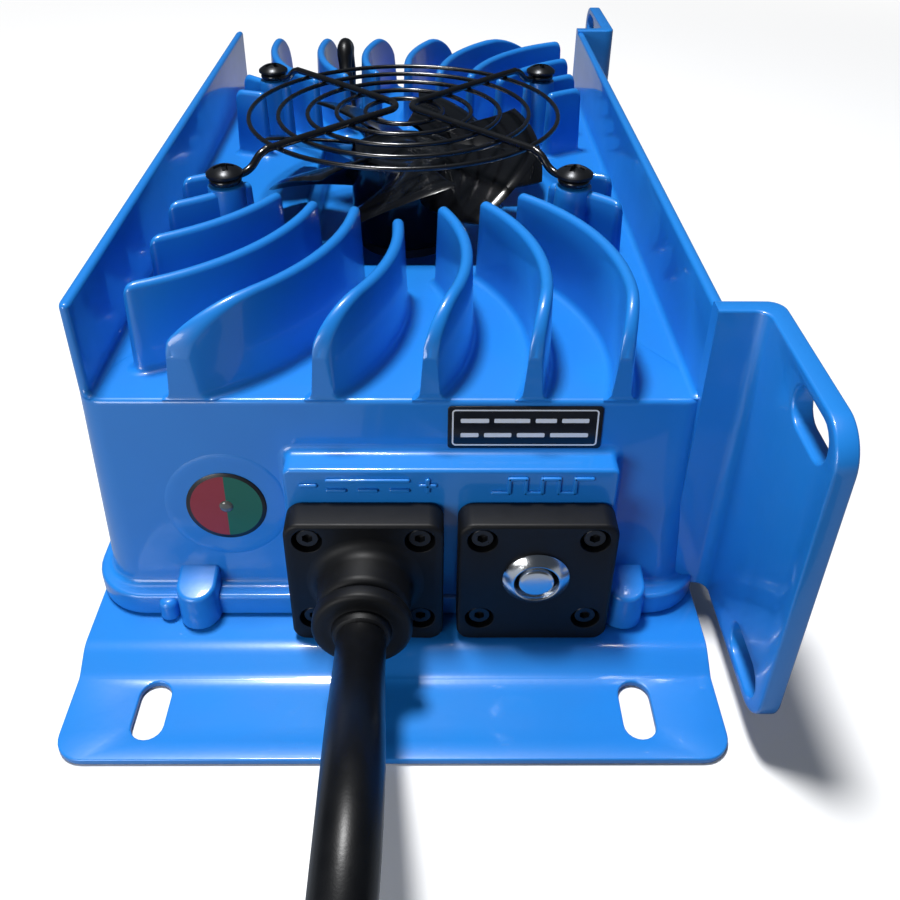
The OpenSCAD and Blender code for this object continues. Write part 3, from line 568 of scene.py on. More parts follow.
def small_boss(x):
    """Small boss beside the left screw boss: a round wall under a quarter-round dome."""
    tip, r, dome, wall = -139.7, 2.6, 1.9, LEDGE_Z - 2.6
    rows = [boss_row(x, tip - 0.1, r + 0.1, BODY_Z + 0.3), boss_row(x, tip, r, wall)]
    rows += [boss_row(x, tip, r, wall + dome * s, dome * (1 - c)) for c, s in bend(0, 90, 5)[1:]]
    return skin(rows)


def panel():
    """Raised panel behind the connector plates: a rounded front edge and a fillet at its root."""
    middle = ((PANEL_X[0] + PANEL_X[1]) / 2, (BODY_Z + 0.2 + PANEL_Z) / 2)
    half = ((PANEL_X[1] - PANEL_X[0]) / 2, (PANEL_Z - BODY_Z - 0.2) / 2)
    loop, out = round_corners(*half, 2.0, 7, middle)

    def row(grow, depth=None, root=None):
        flat = loop + grow * out
        flat[:, 1] = np.maximum(flat[:, 1], BODY_Z + 0.2)
        face = -(HALF_L + (DECK_Z - flat[:, 1]) * END_LEAN)
        y = PANEL_Y + depth if root is None else face - root
        return np.column_stack([flat[:, 0], np.broadcast_to(y, len(flat)), flat[:, 1]])

    rows = [row(-1.0 * (1 - s), depth=1.0 - 1.0 * c) for c, s in bend(0, 90, 5)]
    rows += [row(2.2 * (1 - c), root=2.2 * (1 - s)) for c, s in bend(0, 90, 5)]
    return skin(rows + [row(2.2, root=-2.0)])


# Lengths along the flat ear between which it bends, and its thickness
EAR_BEND = (8.3, 18.3)
EAR_THICK = 5.0


def ear_place(points):
    """Bends a flat ear: a web beside the casting, a corner, and a flange along the casting's side.

    The corner's inner face is an arc of 3.4 mm, and its outer face two straights joined by one of 4.
    """
    u, v, h = points.T
    before, after = EAR_BEND
    side = (h + EAR_THICK / 2) / EAR_THICK
    t = np.clip((u - before) / (after - before), 0, 1)
    turn = t * np.pi / 2
    inner = np.stack([84.9 + 3.4 * np.sin(turn), 132.4 - 3.4 * np.cos(turn)], -1)
    straight, arc = 4.4, 4.0
    run = t * (2 * straight + arc * np.pi / 2)
    turn = np.clip((run - straight) / arc, 0, np.pi / 2)
    first, last = np.minimum(run, straight), np.maximum(run - straight - arc * np.pi / 2, 0)
    outer = np.stack([84.9 + first + arc * np.sin(turn), 124.0 + arc * (1 - np.cos(turn)) + last], -1)
    flat = inner * (1 - side[:, None]) + outer * side[:, None]
    flat[:, 0] += np.minimum(u - before, 0)
    flat[:, 1] += np.maximum(u - after, 0)
    return np.column_stack([flat, v])


def ear():
    """Slotted side ear, flat at first, with rounded rims, and then bent round its corner."""
    length, low, top = 63.4, 10.5, 101.2
    middle, half = (length / 2, (low + top) / 2), (length / 2, (top - low) / 2)
    corner, steps = 10, 12
    loop, out = round_corners(*half, corner, steps, middle)
    count = steps + 1
    outline = np.vstack([loop[-count:], loop[:count], [[0, top], [0, low]]])
    outwards = np.vstack([out[-count:], out[:count], [[0, 1], [0, -1]]])
    stations = list(np.linspace(*EAR_BEND, 13))
    outline, outwards = with_stations((outline, outwards), 0, stations)
    slots = [stadium(10, 20.5, (48.1, z)) for z in (low + 8, 93.3)]
    ties = station_ties(outline, 0, stations)
    points, faces = plate([(outline, outwards)] + slots, EAR_THICK, 0.7, ties)
    return ear_place(points), faces


def casting():
    """The painted casting: shell, walls, swirl of fins, bosses, panel and ears in one mesh."""
    parts = [casting_shell(), side_wall(), moved(side_wall(), MIRROR_X), panel()]
    for k in range(-5, 6):
        parts += [fin(k), moved(fin(k), about_z(180))]
    parts += at_corners(guard_boss(), SCREW_XY, SCREW_XY)
    for boss in (ledge_boss(-54.9), ledge_boss(62.9), small_boss(-63.6)):
        parts += [boss, moved(boss, MIRROR_Y)]
    parts += [ear(), moved(ear(), MIRROR_Y)]
    pad = [(18, 0), (17.4, 0.4), (16.4, 2), (16, 4), (16, 6.2), (15.2, 7), (10.4, 7), (10.4, 0)]
    parts.append(moved(turned(pad, 64), FACE_REAR, (0, HALF_L, REAR_GLAND_Z)))
    faint = [(16.5, 0), (16.1, 0.12), (15.4, 0.24), (14, 0.28), (1, 0.28)]
    parts.append(on_front(turned(faint, 64), STICKER_AT))
    return join(parts)


def on_front(part, place, lift=0.0):
    """Places a flat part on the drafted front face: its Z axis points out of the face."""
    x, z = place
    tilt = math.atan(END_LEAN)
    c, s = math.cos(tilt), math.sin(tilt)
    turn = [[1, 0, 0], [0, s, -c], [0, c, s]]
    y = -(HALF_L + (DECK_Z - z) * END_LEAN)
    return moved(part, turn, (x, y - lift * c, z + lift * s))


# Base plate


def plate_height(y):
    """Height of the base plate's middle surface: two arcs and a ramp join its middle and its feet."""
    r, slope, high, low = 8.0, math.radians(30), 5.6, 1.0
    start = HALF_L + 18
    ramp = (high - low - 2 * r * (1 - math.cos(slope))) / math.tan(slope)
    stop = start + 2 * r * math.sin(slope) + ramp
    first, last = np.linspace(0.1, 1, 8) * slope, np.linspace(1, 0, 9) * slope
    ys = np.concatenate([[0, start], start + r * np.sin(first), stop - r * np.sin(last)])
    zs = np.concatenate([[high, high], high - r * (1 - np.cos(first)), low + r * (1 - np.cos(last))])
    return np.interp(np.abs(y), ys, zs), start, stop


def base_plate():
    """Folded base plate: a flat plate with four slots, stepped down to its feet over two soft bends.

    The stations across it, where it bends, stop short of the slots.
    """
    half_w, half_l, corner = 85, 179.5, 7.5
    slot_x, slot_y, slot_w, slot_l = 63.2, 165, 8.2, 17.3
    _, start, stop = plate_height(np.zeros(1))
    half = [y for y in np.linspace(start, stop, 17) if y < slot_y - slot_l / 2 - 0.15]
    stations = [-y for y in half] + half
    outline = with_stations(round_corners(half_w, half_l, corner, 8), 1, stations)
    loops = [outline]
    for x in (-slot_x, slot_x):
        for y in (-slot_y, slot_y):
            loop, out = stadium(slot_w, slot_l)
            loops.append((loop[:, ::-1] + [x, y], out[:, ::-1]))
    points, faces = plate(loops, 2, 0.5, station_ties(outline[0], 1, stations))
    points[:, 2] += plate_height(points[:, 1])[0]
    return points, faces


# Connector plates, gland and push-button


def face_plate(part, x, y, z=COVER_Z):
    """Places a flat part so that its Z axis points out of the front at (x, y, z)."""
    return moved(part, FACE_FRONT, (x, y, z))


def on_plate(profile, x, up, around=72):
    """Profile turned about an axis that stands out of a connector plate, at a height on it."""
    return face_plate(turned(profile, around), x, COVER_Y, COVER_Z + up)


def connector_plate(x, middle_hole=None):
    """Square plate with soft edges and four counterbores, and the dark floors of those holes."""
    thick, hole = 9.2, stadium(7.8, 7.8001, steps=12)
    corners = [(i * HOLE_X, j * HOLE_Y + HOLE_UP) for i in (-1, 1) for j in (-1, 1)]
    loops = [round_corners(20.4, 21.1, 4.0, 8)] + [(hole[0] + place, hole[1]) for place in corners]
    if middle_hole:
        loops.append(stadium(middle_hole * 2, middle_hole * 2 + 1e-4, (0, BUTTON_UP), 20))
    rims = [1.0] + [0.2] * (len(loops) - 1)
    parts = [moved(plate(loops, thick, rims, steps=5), shift=(0, 0, -thick / 2))]
    floor = turned([(4.1, -6), (4.1, -4.1), (0.5, -4.1)], 32)
    return face_plate(join(parts + at_corners(floor, HOLE_X, HOLE_Y, up=HOLE_UP)), x, COVER_Y)


# Radius of a ball so large that the top of a screw looks flat
FLAT_CROWN = 1e6


def plate_screws(x):
    """Four hex-socket cap screws in a connector plate."""
    head = screw_head(2.9, 3, hex_socket(1.45), 1.6, FLAT_CROWN, around=36)
    shank = turned([(1.5, -9), (1.5, 0.1)], 24)
    return face_plate(join(at_corners(join([head, shank]), HOLE_X, HOLE_Y, up=HOLE_UP)), x, COVER_Y + 4)


def hood():
    """Round hood on the output plate: a wide fillet at its root and a soft front edge."""
    profile = fillet(12, 0, 3.4, 6) + brow(12, 11, 2.2, 6)
    return on_plate(profile, OUTPUT_X, CORD_UP)


def gland():
    """Gland on the hood: a dark groove, a rounded collar and the short neck that grips the cord."""
    profile = [(10.2, 10.5), (10.2, 12.3)]
    profile += [(12.6 - 0.9 * (1 - s), 13.2 - 0.9 * c) for c, s in bend(0, 90, 4)] + brow(12.6, 16.5, 1.3, 5)
    profile += [(9.6, 16.5), (8.4, 16.1), (7.6, 16.3), (7.4, 17.2), (7.1, 18.2), (6.5, 18.6), (5.5, 18.6)]
    return on_plate(profile, OUTPUT_X, CORD_UP)


def bezel():
    """Polished bezel of the push-button: a flat rim, a cone, a lip and the groove round the cap."""
    profile = [(7.5, -15), (7.5, 0), (8.8, 0), (8.8, 0.35), (8.6, 0.6), (6.6, 1.9)]
    profile += [(6.2, 2.1), (5.9, 2.0), (5.5, 1.2), (5.3, 0.2), (5.0, -0.6), (5.0, -9)]
    return on_plate(profile, SIGNAL_X, BUTTON_UP)


def button_cap():
    """Cap of the push-button: a mirror-bright disc with a soft edge and a slight crown."""
    profile = [(4.6, -2.2), (4.6, 1.4), (4.5, 1.75), (4.2, 1.95)]
    profile += [(3.4, 2.04), (2.2, 2.1), (1, 2.13), (0.2, 2.14)]
    return on_plate(profile, SIGNAL_X, BUTTON_UP, 56)


# Fan and guard


def rotor():
    """Fan: a hub with a stepped, softly rounded crown, and thin blades that climb as they sweep.

    A blade is two sheets over its span and its chord: its angle and its height grow along the chord,
    and the sheets close in a superellipse at its edges.
    """
    size = bpy.context.scene.charger_sizes
    low = HUB_H - 0.3
    crown = [(HUB_R - 3.6, 0), (HUB_R - 0.4, 0), (HUB_R, 0.6), (HUB_R, HUB_H - 2.2)]
    crown += brow(HUB_R, HUB_H, 2.2, 6)[1:] + [(13.4, HUB_H), (13.1, HUB_H - 0.25)]
    crown += [(12.6, low), (4.4, low), (4.1, HUB_H - 0.1), (0.3, HUB_H)]
    parts = [moved(turned(crown, 96), shift=(0, 0, HUB_Z))]
    chord = 0.5 - 0.5 * np.cos(np.linspace(0, np.pi, 30))
    u, v = np.meshgrid(np.linspace(0, 1, 22), chord, indexing="ij")
    turn = np.radians(v * (56 - 14 * u) + 12 * u * u - 20)
    root = HUB_R - 1.2
    r = root + (FAN_R - root) * u
    z = 17 + 3.5 * u + (16.5 - 1.5 * u) * (v + 0.14 * np.sin(np.pi * v))
    edge = np.sqrt(np.clip(1 - np.abs(2 * v - 1) ** 14, 0, 1)) * np.sqrt(np.clip(1 - u**40, 0, 1))
    sheets = []
    for side in (-1, 1):
        high = z + side * size.blade_thickness / 2 / MM * edge
        sheets.append(np.stack([r * np.cos(turn), r * np.sin(turn), high + HUB_Z], -1).reshape(-1, 3))
    rows, cols = u.shape
    one = grid_faces(rows, cols)
    blade = (np.vstack(sheets), one + [[i + rows * cols for i in face[::-1]] for face in one])
    parts += [moved(blade, about_z(360 * i / size.blade_count)) for i in range(size.blade_count)]
    return join(parts)


# Radii of the guard's carrier wire, its ring wire and its outer ring, and the step between rings
GUARD_WIRE, RING_WIRE, RING_R, RING_STEP = 1.2, 0.8, 52.8, 9.9


def carrier(side):
    """One carrier wire of the guard: from an eye up a soft shoulder, in to the bend and out again."""
    arm = [(72.5, EYE_Z), (69.5, EYE_Z), (66.6, EYE_Z + 0.25), (64, EYE_Z + 1.4), (61.2, LEG_Z - 1.3)]
    arm += [(58.6, LEG_Z - 0.25), (55.5, LEG_Z), (30, LEG_Z), (12, LEG_Z)]
    diagonal, bow_x, bow_r = math.sqrt(0.5), 9.9, 7
    out = [[side * r * diagonal, r * diagonal, z] for r, z in arm]
    bow = [[side * (bow_x - bow_r * c), bow_r * s, LEG_Z] for c, s in bend(45, 0, 3)]
    points = np.array(out + bow)
    points = np.vstack([points, points[-2::-1] * [1, -1, 1]])
    return tube(curve_through(points, 4), GUARD_WIRE, 14)


def guard():
    """Wire guard: rings under two bent carrier wires that end in an eye at each screw."""
    size = bpy.context.scene.charger_sizes
    rings = [wire_ring(RING_R - i * RING_STEP, RING_WIRE) for i in range(size.guard_rings)]
    parts = [moved(ring, shift=(0, 0, RING_Z)) for ring in rings] + [carrier(1), carrier(-1)]
    return join(parts + at_corners(wire_ring(3.75, GUARD_WIRE, 48), SCREW_XY, SCREW_XY, EYE_Z))


def guard_screws():
    """Four round-head screws with cross recesses, each turned a little differently."""
    r, h = 5.6, 3.0
    head = screw_head(r, h, cross_slot(0.85, 3.1), 1.7, (r * r + h * h) / (2 * h) + r / 4)
    part = join([head, turned([(2, -12), (2, 0.1)], 24)])
    spots = [(-1, -1, 20), (1, -1, 65), (-1, 1, 38), (1, 1, 8)]
    z = EYE_Z + 1.55
    return join([moved(part, about_z(a), (x * SCREW_XY, y * SCREW_XY, z)) for x, y, a in spots])


# Way of the fan's lead: from the motor under the blades, over the deck and down into the housing
LEAD = [(-4.9, 16.7, 59.4), (-9, 30, 59.4), (-13.6, 46, 59.4), (-15.2, 51.5, 62.2), (-15.5, 52.8, 69.2),
        (-15.8, 53.8, 74.7), (-16.6, 57, 78.2), (-18.4, 63, 78.2), (-21.5, 72, 76.5), (-25, 82, 78.2),
        (-27.4, 91, 90.2), (-28.2, 100, 100.2), (-27.9, 108, 96.2), (-27.1, 113.2, 82.2),
        (-27, 113.8, 74.2), (-27, 114, 66.2)]


def fan_lead():
    """Fan lead: two wires in a sleeve, as a tube whose radius grows with the sleeve.

    The skin rises and falls a little along it, by a sine, and more where the sleeve is.
    """
    path = curve_through(LEAD, 8)
    along = np.linspace(0, 1, len(path))
    wires, ripples = 1.75, 90
    sleeve = np.interp(path[:, 1], [76, 88, 110, 113.6], [0, 1.3, 1.3, 0.2])
    return tube(path, wires + sleeve + (0.06 + 0.2 * sleeve) * np.sin(along * ripples), 18)


# Prints, marks and the rear gland


def flat_piece(loop, z0, z1):
    """Thin flat piece between two heights."""
    return skin([at_height(loop, z0), at_height(loop, z1)])


def box_loop(x0, x1, y0, y1, r):
    """Rounded rectangle between two corners."""
    half_x, half_y = (x1 - x0) / 2, (y1 - y0) / 2
    r = min(r, half_x / 1.005, half_y / 1.005)
    return round_corners(half_x, half_y, r, 4, ((x0 + x1) / 2, (y0 + y1) / 2))


def label_base():
    """Black label: a thin film with rounded corners."""
    film = plate([round_corners(19.7, 6.3, 1.0, 8)], 0.5, 0.12)
    return on_front(moved(film, shift=(0, 0, 0.27)), LABEL_AT)


def label_print():
    """White print on the label: a rounded frame and two rows of plain bars."""
    outer, inner = round_corners(18.6, 5.4, 1.0, 8), round_corners(18.2, 5.0, 0.6, 8)
    frame_line = plate([outer, (inner[0], -inner[1])], 0.04, 0.005, steps=1)
    parts = [moved(frame_line, shift=(0, 0, 0.52))]
    half = 0.62
    rows = [(2.1, (-16.4, -9.2, -7.9, 1.2, 2.6, 8.0, 9.3, 16.2)),
            (-2.2, (-16.4, -11.8, -10.4, -3.4, -2.0, 5.1, 6.5, 16.2))]
    for middle, ends in rows:
        for start, stop in zip(ends[::2], ends[1::2]):
            parts.append(flat_piece(box_loop(start, stop, middle - half, middle + half, 0.3)[0], 0.5, 0.54))
    return on_front(join(parts), LABEL_AT)


STICKER_LIFT = 0.15


def sticker_base():
    """Round black sticker with an eased edge."""
    profile = [(10.7, 0), (10.7, 0.32), (10.55, 0.42), (0.5, 0.42)]
    return on_front(turned(profile, 72), STICKER_AT, STICKER_LIFT)


def sticker_half(side):
    """Coloured half of the sticker, left or right of its upright middle line, inside its black ring."""
    turn = np.radians(np.linspace(90, 270, 40) if side < 0 else np.linspace(-90, 90, 40))
    return on_front(flat_piece(9.6 * unit(turn), 0.4, 0.45), STICKER_AT, STICKER_LIFT)


def sticker_dot():
    """Small clear dome at the middle of the sticker."""
    profile = [(1.9, 0.4), (1.8, 0.62), (1.4, 0.86), (0.8, 1.0), (0.1, 1.03)]
    return on_front(turned(profile, 32), STICKER_AT, STICKER_LIFT)


def raised(x0, x1, z0, z1, x=0.0):
    """Raised bar on the panel between two corners round (x, MARKS_Z), with soft edges."""
    bar = plate([box_loop(x0, x1, z0, z1, 0.5)], 1.4, 0.35)
    return face_plate(moved(bar, shift=(0, 0, 0.05)), x, PANEL_Y, MARKS_Z)


def panel_marks():
    """Cast marks over the plates: direct current with its two poles, and a square wave."""
    parts = [raised(-17.5, 4.0, 1.0, 2.2)]
    parts += [raised(x, x + 5.3, -2.2, -1.0) for x in (-17.5, -9.4, -1.3)]
    parts += [raised(-24.3, -19.6, -0.6, 0.6), raised(6.2, 10.9, -0.6, 0.6), raised(7.95, 9.15, -2.35, 2.35)]
    half, high, base = 0.55, 4.6, -2.9
    steps = [(-12.8, 0), (-8.6, 0), (-8.6, 1), (-4.4, 1), (-4.4, 0), (-0.2, 0)]
    steps += [(-0.2, 1), (4.0, 1), (4.0, 0), (8.2, 0), (8.2, 1), (12.4, 1)]
    for (x0, y0), (x1, y1) in zip(steps[:-1], steps[1:]):
        low, top = min(y0, y1) * high + base, max(y0, y1) * high + base
        parts.append(raised(x0 - half, x1 + half, low, top + 2 * half, 38.0))
    return join(parts)


def rear_gland():
    """Input gland on the rear: a hex, a ribbed dome nut and the mouth that the input cord goes into."""
    parts = [turned([(12.2, 0), (12.6, 0.4), (12.6, 4.6), (12.2, 5)], 72, hex_socket(1))]
    nut = [(10.9, 5), (11, 5.6), (11, 13), (10.6, 14.6), (9.6, 16.8), (8.2, 18.6)]
    nut += [(7.4, 19), (6.6, 18.8), (6.2, 18), (6.2, 6)]
    parts.append(turned(nut, 144, lambda angle: 1 + 0.022 * np.clip(np.cos(24 * angle) * 2, -1, 1)))
    parts.append(turned([(10, -26), (10, 0)], 48))
    return moved(join(parts), FACE_REAR, (0, HALF_L + 7, REAR_GLAND_Z))


# Cord


# Way of the cord: from its gland over an arch to the floor, and from its coil in to the plug
CORD_LEAD = [(-7.7, -158.5, 28.6), (-7.7, -163.8, 28.6), (-7.6, -170, 29.4), (-7.4, -177, 31.9),
             (-6.9, -186, 37), (-6.3, -196, 43.1), (-5.7, -206, 48.3), (-5.3, -216, 51.6),
             (-5.2, -226, 52.4), (-5.5, -236, 50.3), (-6.2, -247, 44.8), (-7.2, -258, 37),
             (-8.2, -269, 28.4), (-9.1, -280, 20.3), (-9.7, -290, 13.8), (-10, -299, 9.2)]
CORD_TAIL = [(75.05, -246, 18.8), (59.2, -250.7, 18.2), (46, -254.8, 17), (36.4, -262, 14.9),
             (30, -270.2, 12.2), (26.9, -277, 9.2), (PLUG_X, -283, 8.1), (PLUG_X, -288, 8)]


def cord_path():
    """Centreline of the cord: over its arch, two turns and a half, and a tail that bends in to the plug.

    The turns are a circle whose radius and height change with the share of the way round: outside, then
    inside on the floor, then on top of both.
    """
    lead = curve_through(CORD_LEAD, 4)
    r_out, r_in, low = COIL_R + CORD_D / 2, COIL_R - CORD_D / 2, CORD_D / 2
    top = low + COIL_PITCH
    angle = np.linspace(180, 1136, 108)
    share = (angle - 180) / 360
    r = np.interp(share, [0, 0.85, 1.15, 1.9, 2.12, 2.66], [r_out, r_out, r_in, r_in, COIL_R, COIL_R - 1.5])
    z = np.interp(share, [0, 0.06, 1.82, 2.1, 2.66], [low + 0.6, low, low, top, top + 0.5])
    turns = np.stack([COIL_X + r * np.cos(np.radians(angle)), COIL_Y + r * np.sin(np.radians(angle)), z], -1)
    joint = curve_through([lead[-2], lead[-1], turns[1], turns[2]], 4)[5:-5]
    tail = curve_through([turns[-2], turns[-1], *CORD_TAIL], 4)[5:]
    return np.vstack([lead, joint, turns[1:], tail])


def cord_tie(degrees):
    """Tie round the coil: a strap that follows the outside of its three turns, and a square lock."""
    r = CORD_D / 2
    around = r + 0.7
    arcs = [(r, r, -88, 28), (0, r + COIL_PITCH, 28, 152), (-r, r, 152, 268)]
    line = np.array([(x + around * c, z + around * s) for x, z, a, b in arcs for c, s in bend(a, b, 8)])
    line[:, 1] = np.maximum(line[:, 1], 0.35)
    out = line - [0, 9.0]
    out /= np.linalg.norm(out, axis=1)[:, None]
    rows = []
    for across, lift in ((-2.3, 0), (-2.3, 0.9), (-2.0, 1.1), (2.0, 1.1), (2.3, 0.9), (2.3, 0)):
        flat = line + out * (lift - 0.35)
        z = np.maximum(flat[:, 1], 0.02 + 0.2 * (lift == 0))
        rows.append(np.column_stack([flat[:, 0], np.full(len(flat), across), z]))
    strap = (np.vstack(rows), grid_faces(len(rows), len(line), True, True))
    lock = moved(plate([round_corners(3.4, 3.0, 0.8, 4)], 5.0, 0.6), FACE_SIDE, (14.2, 0, 9.5))
    part = moved(join([strap, lock]), shift=(COIL_R, 0, 0))
    return moved(part, about_z(degrees), (COIL_X, COIL_Y, 0))


def plug():
    """Two-pole plug: a rounded block with two ports, finger ribs and the collar that holds the cord."""
    loops = [round_corners(13, 8, 3, 8)]
    for x in (-6, 6):
        loop, out = round_corners(4, 5, 1, 5, (x, 0))
        loops.append((loop, -out))
    flats = [(plate(loops, 44, 1.2), 0), (plate([round_corners(12.6, 7.6, 2.6, 6)], 30, 0.4), 6)]
    flats.append((turned([(8.4, -1), (8.4, 2.2), (7.9, 3.6), (7.4, 5), (6.3, 5.2)], 40), 22))
    rib = plate([round_corners(13.4, 8.0, 3, 8)], 1.6, 0.6)
    flats += [(rib, y) for y in (4, 8, 12, 16)]
    return join([moved(part, ALONG_Y, (PLUG_X, COIL_Y + y, PLUG_Z)) for part, y in flats])


# Materials


def node(tree, kind, settings=None, **links):
    """Adds one shader node: settings for its properties and inputs, links from other nodes' sockets."""
    made = tree.nodes.new(kind)
    for key, value in (settings or {}).items():
        if isinstance(key, int) or key in made.inputs:
            made.inputs[key].default_value = value
        else:
            setattr(made, key, value)
    for key, source in links.items():
        slot = int(key[1:]) if key[0] == "i" and key[1:].isdigit() else key.replace("_", " ")
        tree.links.new(source, made.inputs[slot])
    return made


def empty_tree(owner):
    """Node tree of a material or a world, with nothing in it."""
    owner.use_nodes = True
    owner.node_tree.nodes.clear()
    return owner.node_tree


def made_of(name, colour, second, roughness, size, height, spread=0.06, metallic=0.0, ior=1.5, coat=0.0,
            coat_roughness=0.05):
    """Material with one surface shader and one grain, whose size and height are in millimetres.

    Fine noise gives the bump, and noise eight times as coarse mixes two colours and spreads the gloss.
    A real grain finer than about 0.3 mm, as on oxide, zinc or film, is drawn coarser so that it shows.
    """
    material = bpy.data.materials.new(name)
    tree = empty_tree(material)
    place = node(tree, "ShaderNodeTexCoord").outputs["Object"]
    in_mm = node(tree, "ShaderNodeVectorMath", {"operation": "SCALE", "Scale": 1 / MM}, i0=place).outputs[0]
    fine = node(tree, "ShaderNodeTexNoise", {"Scale": 1 / size, "Detail": 2.0}, Vector=in_mm)
    slow = node(tree, "ShaderNodeTexNoise", {"Scale": 0.12 / size, "Detail": 3.0}, Vector=in_mm).outputs[0]
    bump = node(tree, "ShaderNodeBump", {"Strength": 1.0, "Distance": height * MM}, Height=fine.outputs[0])
    gloss = node(tree, "ShaderNodeMapRange", {3: roughness - spread, 4: roughness + spread}, i0=slow)
    mix = node(tree, "ShaderNodeMix", {"data_type": "RGBA", 6: srgb(colour), 7: srgb(second)}, i0=slow)
    values = {"Metallic": metallic, "IOR": ior, "Coat Weight": coat, "Coat Roughness": coat_roughness}
    shader = node(tree, "ShaderNodeBsdfPrincipled", values, Normal=bump.outputs[0],
                  Roughness=gloss.outputs[0], Base_Color=mix.outputs[2])
    node(tree, "ShaderNodeOutputMaterial", None, Surface=shader.outputs[0])
    return material


def finishes():
    """All finishes by the record's slot names, and the prints.

    Each has its name, two colours, a roughness, and the size and height of its grain.
    """
    look = bpy.context.scene.charger_colours
    return {
        # Sprayed and baked enamel on an aluminium casting: wet gloss over a faint orange peel
        "blue_paint": made_of("blue_enamel", look.enamel, look.enamel_deep, 0.36, 1.6, 0.018, coat=0.6,
                              coat_roughness=0.06),
        # Foamed rubber: dull and open-pored, without a gleam
        "gasket_rubber": made_of("cellular_rubber", "17181A", "1F2022", 0.8, 0.6, 0.05),
        # Zinc on steel: a grey, slightly cloudy mirror
        "zinc_steel": made_of("zinc_plated_steel", "B9BCBF", "A9ADB2", 0.32, 0.5, 0.01, metallic=1.0),
        # Powder coat on drawn wire: deep black with smooth, long gleams
        "black_steel": made_of("black_powder_coated_wire", "0A0B0D", "101114", 0.26, 0.8, 0.01, coat=0.4),
        # Black oxide on steel: a thin dark skin with a dull metal gleam
        "black_oxide": made_of("black_oxide_steel", "17181B", "26282C", 0.3, 0.4, 0.008, metallic=0.5),
        # Polished stainless steel: a bright mirror whose edges catch the lamps
        "bright_steel": made_of("polished_stainless_steel", "DADCDE", "CDD0D3", 0.2, 0.4, 0.002, spread=0.03,
                                metallic=1.0),
        # Glass-filled nylon from a textured mould: matt black with wide, weak gleams
        "satin_plastic": made_of("moulded_glass_filled_nylon", "07080A", "0A0B0E", 0.52, 0.35, 0.012,
                                 ior=1.35),
        # Polyester from a polished mould: black with sharp gleams on the blades
        "fan_plastic": made_of("glossy_moulded_polyester", "08090B", "0D0E12", 0.16, 1.2, 0.004, coat=0.3),
        # The same polyester from a plain mould: dark grey and satin
        "stator_plastic": made_of("moulded_polyester_stator", "232427", "2B2C30", 0.5, 0.4, 0.01),
        # Film printed black: smooth and half glossy
        "indicator_film": made_of("printed_film", "0C0D10", "121318", 0.3, 0.8, 0.004),
        # Polyester film: black, smooth and a little bluish in the light
        "label_film": made_of("black_polyester_label", "0A0D16", "0E121C", 0.24, 0.8, 0.004),
        # Rubber jacket from an extruder: black with a soft gleam along the cord
        "cord_jacket": made_of("extruded_rubber_jacket", "08090B", "0D0E11", 0.36, 0.5, 0.015, ior=1.38),
        # Nylon from a mould: even grey, satin
        "plug_plastic": made_of("grey_nylon_plug", "5A5D61", "65686C", 0.5, 0.4, 0.012),
        # Solder mask on glass cloth: glossy green lacquer
        "board": made_of("solder_mask", "0F5A2C", "0B4C24", 0.35, 0.8, 0.01),
        # Sintered ferrite: dark grey and stony
        "ferrite": made_of("sintered_ferrite", "333335", "3C3C3F", 0.6, 0.4, 0.01),
        # Lacquered copper wire: warm red metal under a clear skin
        "copper_winding": made_of("enamelled_copper", "B5602B", "A2521F", 0.3, 0.5, 0.02, metallic=0.8),
        # Shrunk sleeve: dark blue, tight and glossy
        "capacitor_sleeve": made_of("shrink_sleeve", "16254A", "1B2C58", 0.3, 0.6, 0.006),
        # Milled aluminium: pale metal with a fine tooth
        "bare_aluminium": made_of("milled_aluminium", "C4C6C8", "B6B9BC", 0.34, 0.4, 0.01, metallic=1.0),
        # Screen-printed inks: flat, even colours, the white one chalky
        "white_ink": made_of("white_screen_print", "E9ECEF", "DDE1E5", 0.45, 0.5, 0.004),
        "red_ink": made_of("red_screen_print", "8E2530", "98303B", 0.32, 0.8, 0.004),
        "green_ink": made_of("green_screen_print", "005A48", "046450", 0.32, 0.8, 0.004),
        # Drop of clear resin: a small, bright, greyish dome
        "clear_resin": made_of("clear_resin_dot", "4C5A55", "5F5350", 0.12, 0.8, 0.004, coat=0.6),
    }


# Stage


def set_camera():
    """Camera of the photograph, from a fit to the object: its lens and shift, its place and its axes."""
    data = bpy.data.cameras.new("photo_camera")
    camera = bpy.data.objects.new("photo_camera", data)
    bpy.context.scene.collection.objects.link(camera)
    data.sensor_width, data.lens = 36.0, 37.52
    data.shift_x, data.shift_y = 0.0152, -0.0878
    data.clip_start, data.clip_end = 0.01, 30
    right = np.array([0.99998, -0.00493, 0.00487])
    up = np.array([-0.00128, 0.55941, 0.82889])
    back = np.cross(right, up)
    camera.rotation_mode = "XYZ"
    camera.rotation_euler = Matrix([[right[i], up[i], back[i]] for i in range(3)]).to_euler()
    camera.location = (0.00908, -0.3182, 0.2118)
    bpy.context.scene.camera = camera


def lamp(name, place, aim, size, watts):
    """Round, soft, white lamp at a place in metres that points at another place."""
    data = bpy.data.lights.new(name, "AREA")
    data.shape, data.size, data.energy = "DISK", size, watts
    obj = bpy.data.objects.new(name, data)
    bpy.context.scene.collection.objects.link(obj)
    obj.location = place
    obj.rotation_euler = (Vector(aim) - Vector(place)).to_track_quat("-Z", "Y").to_euler()


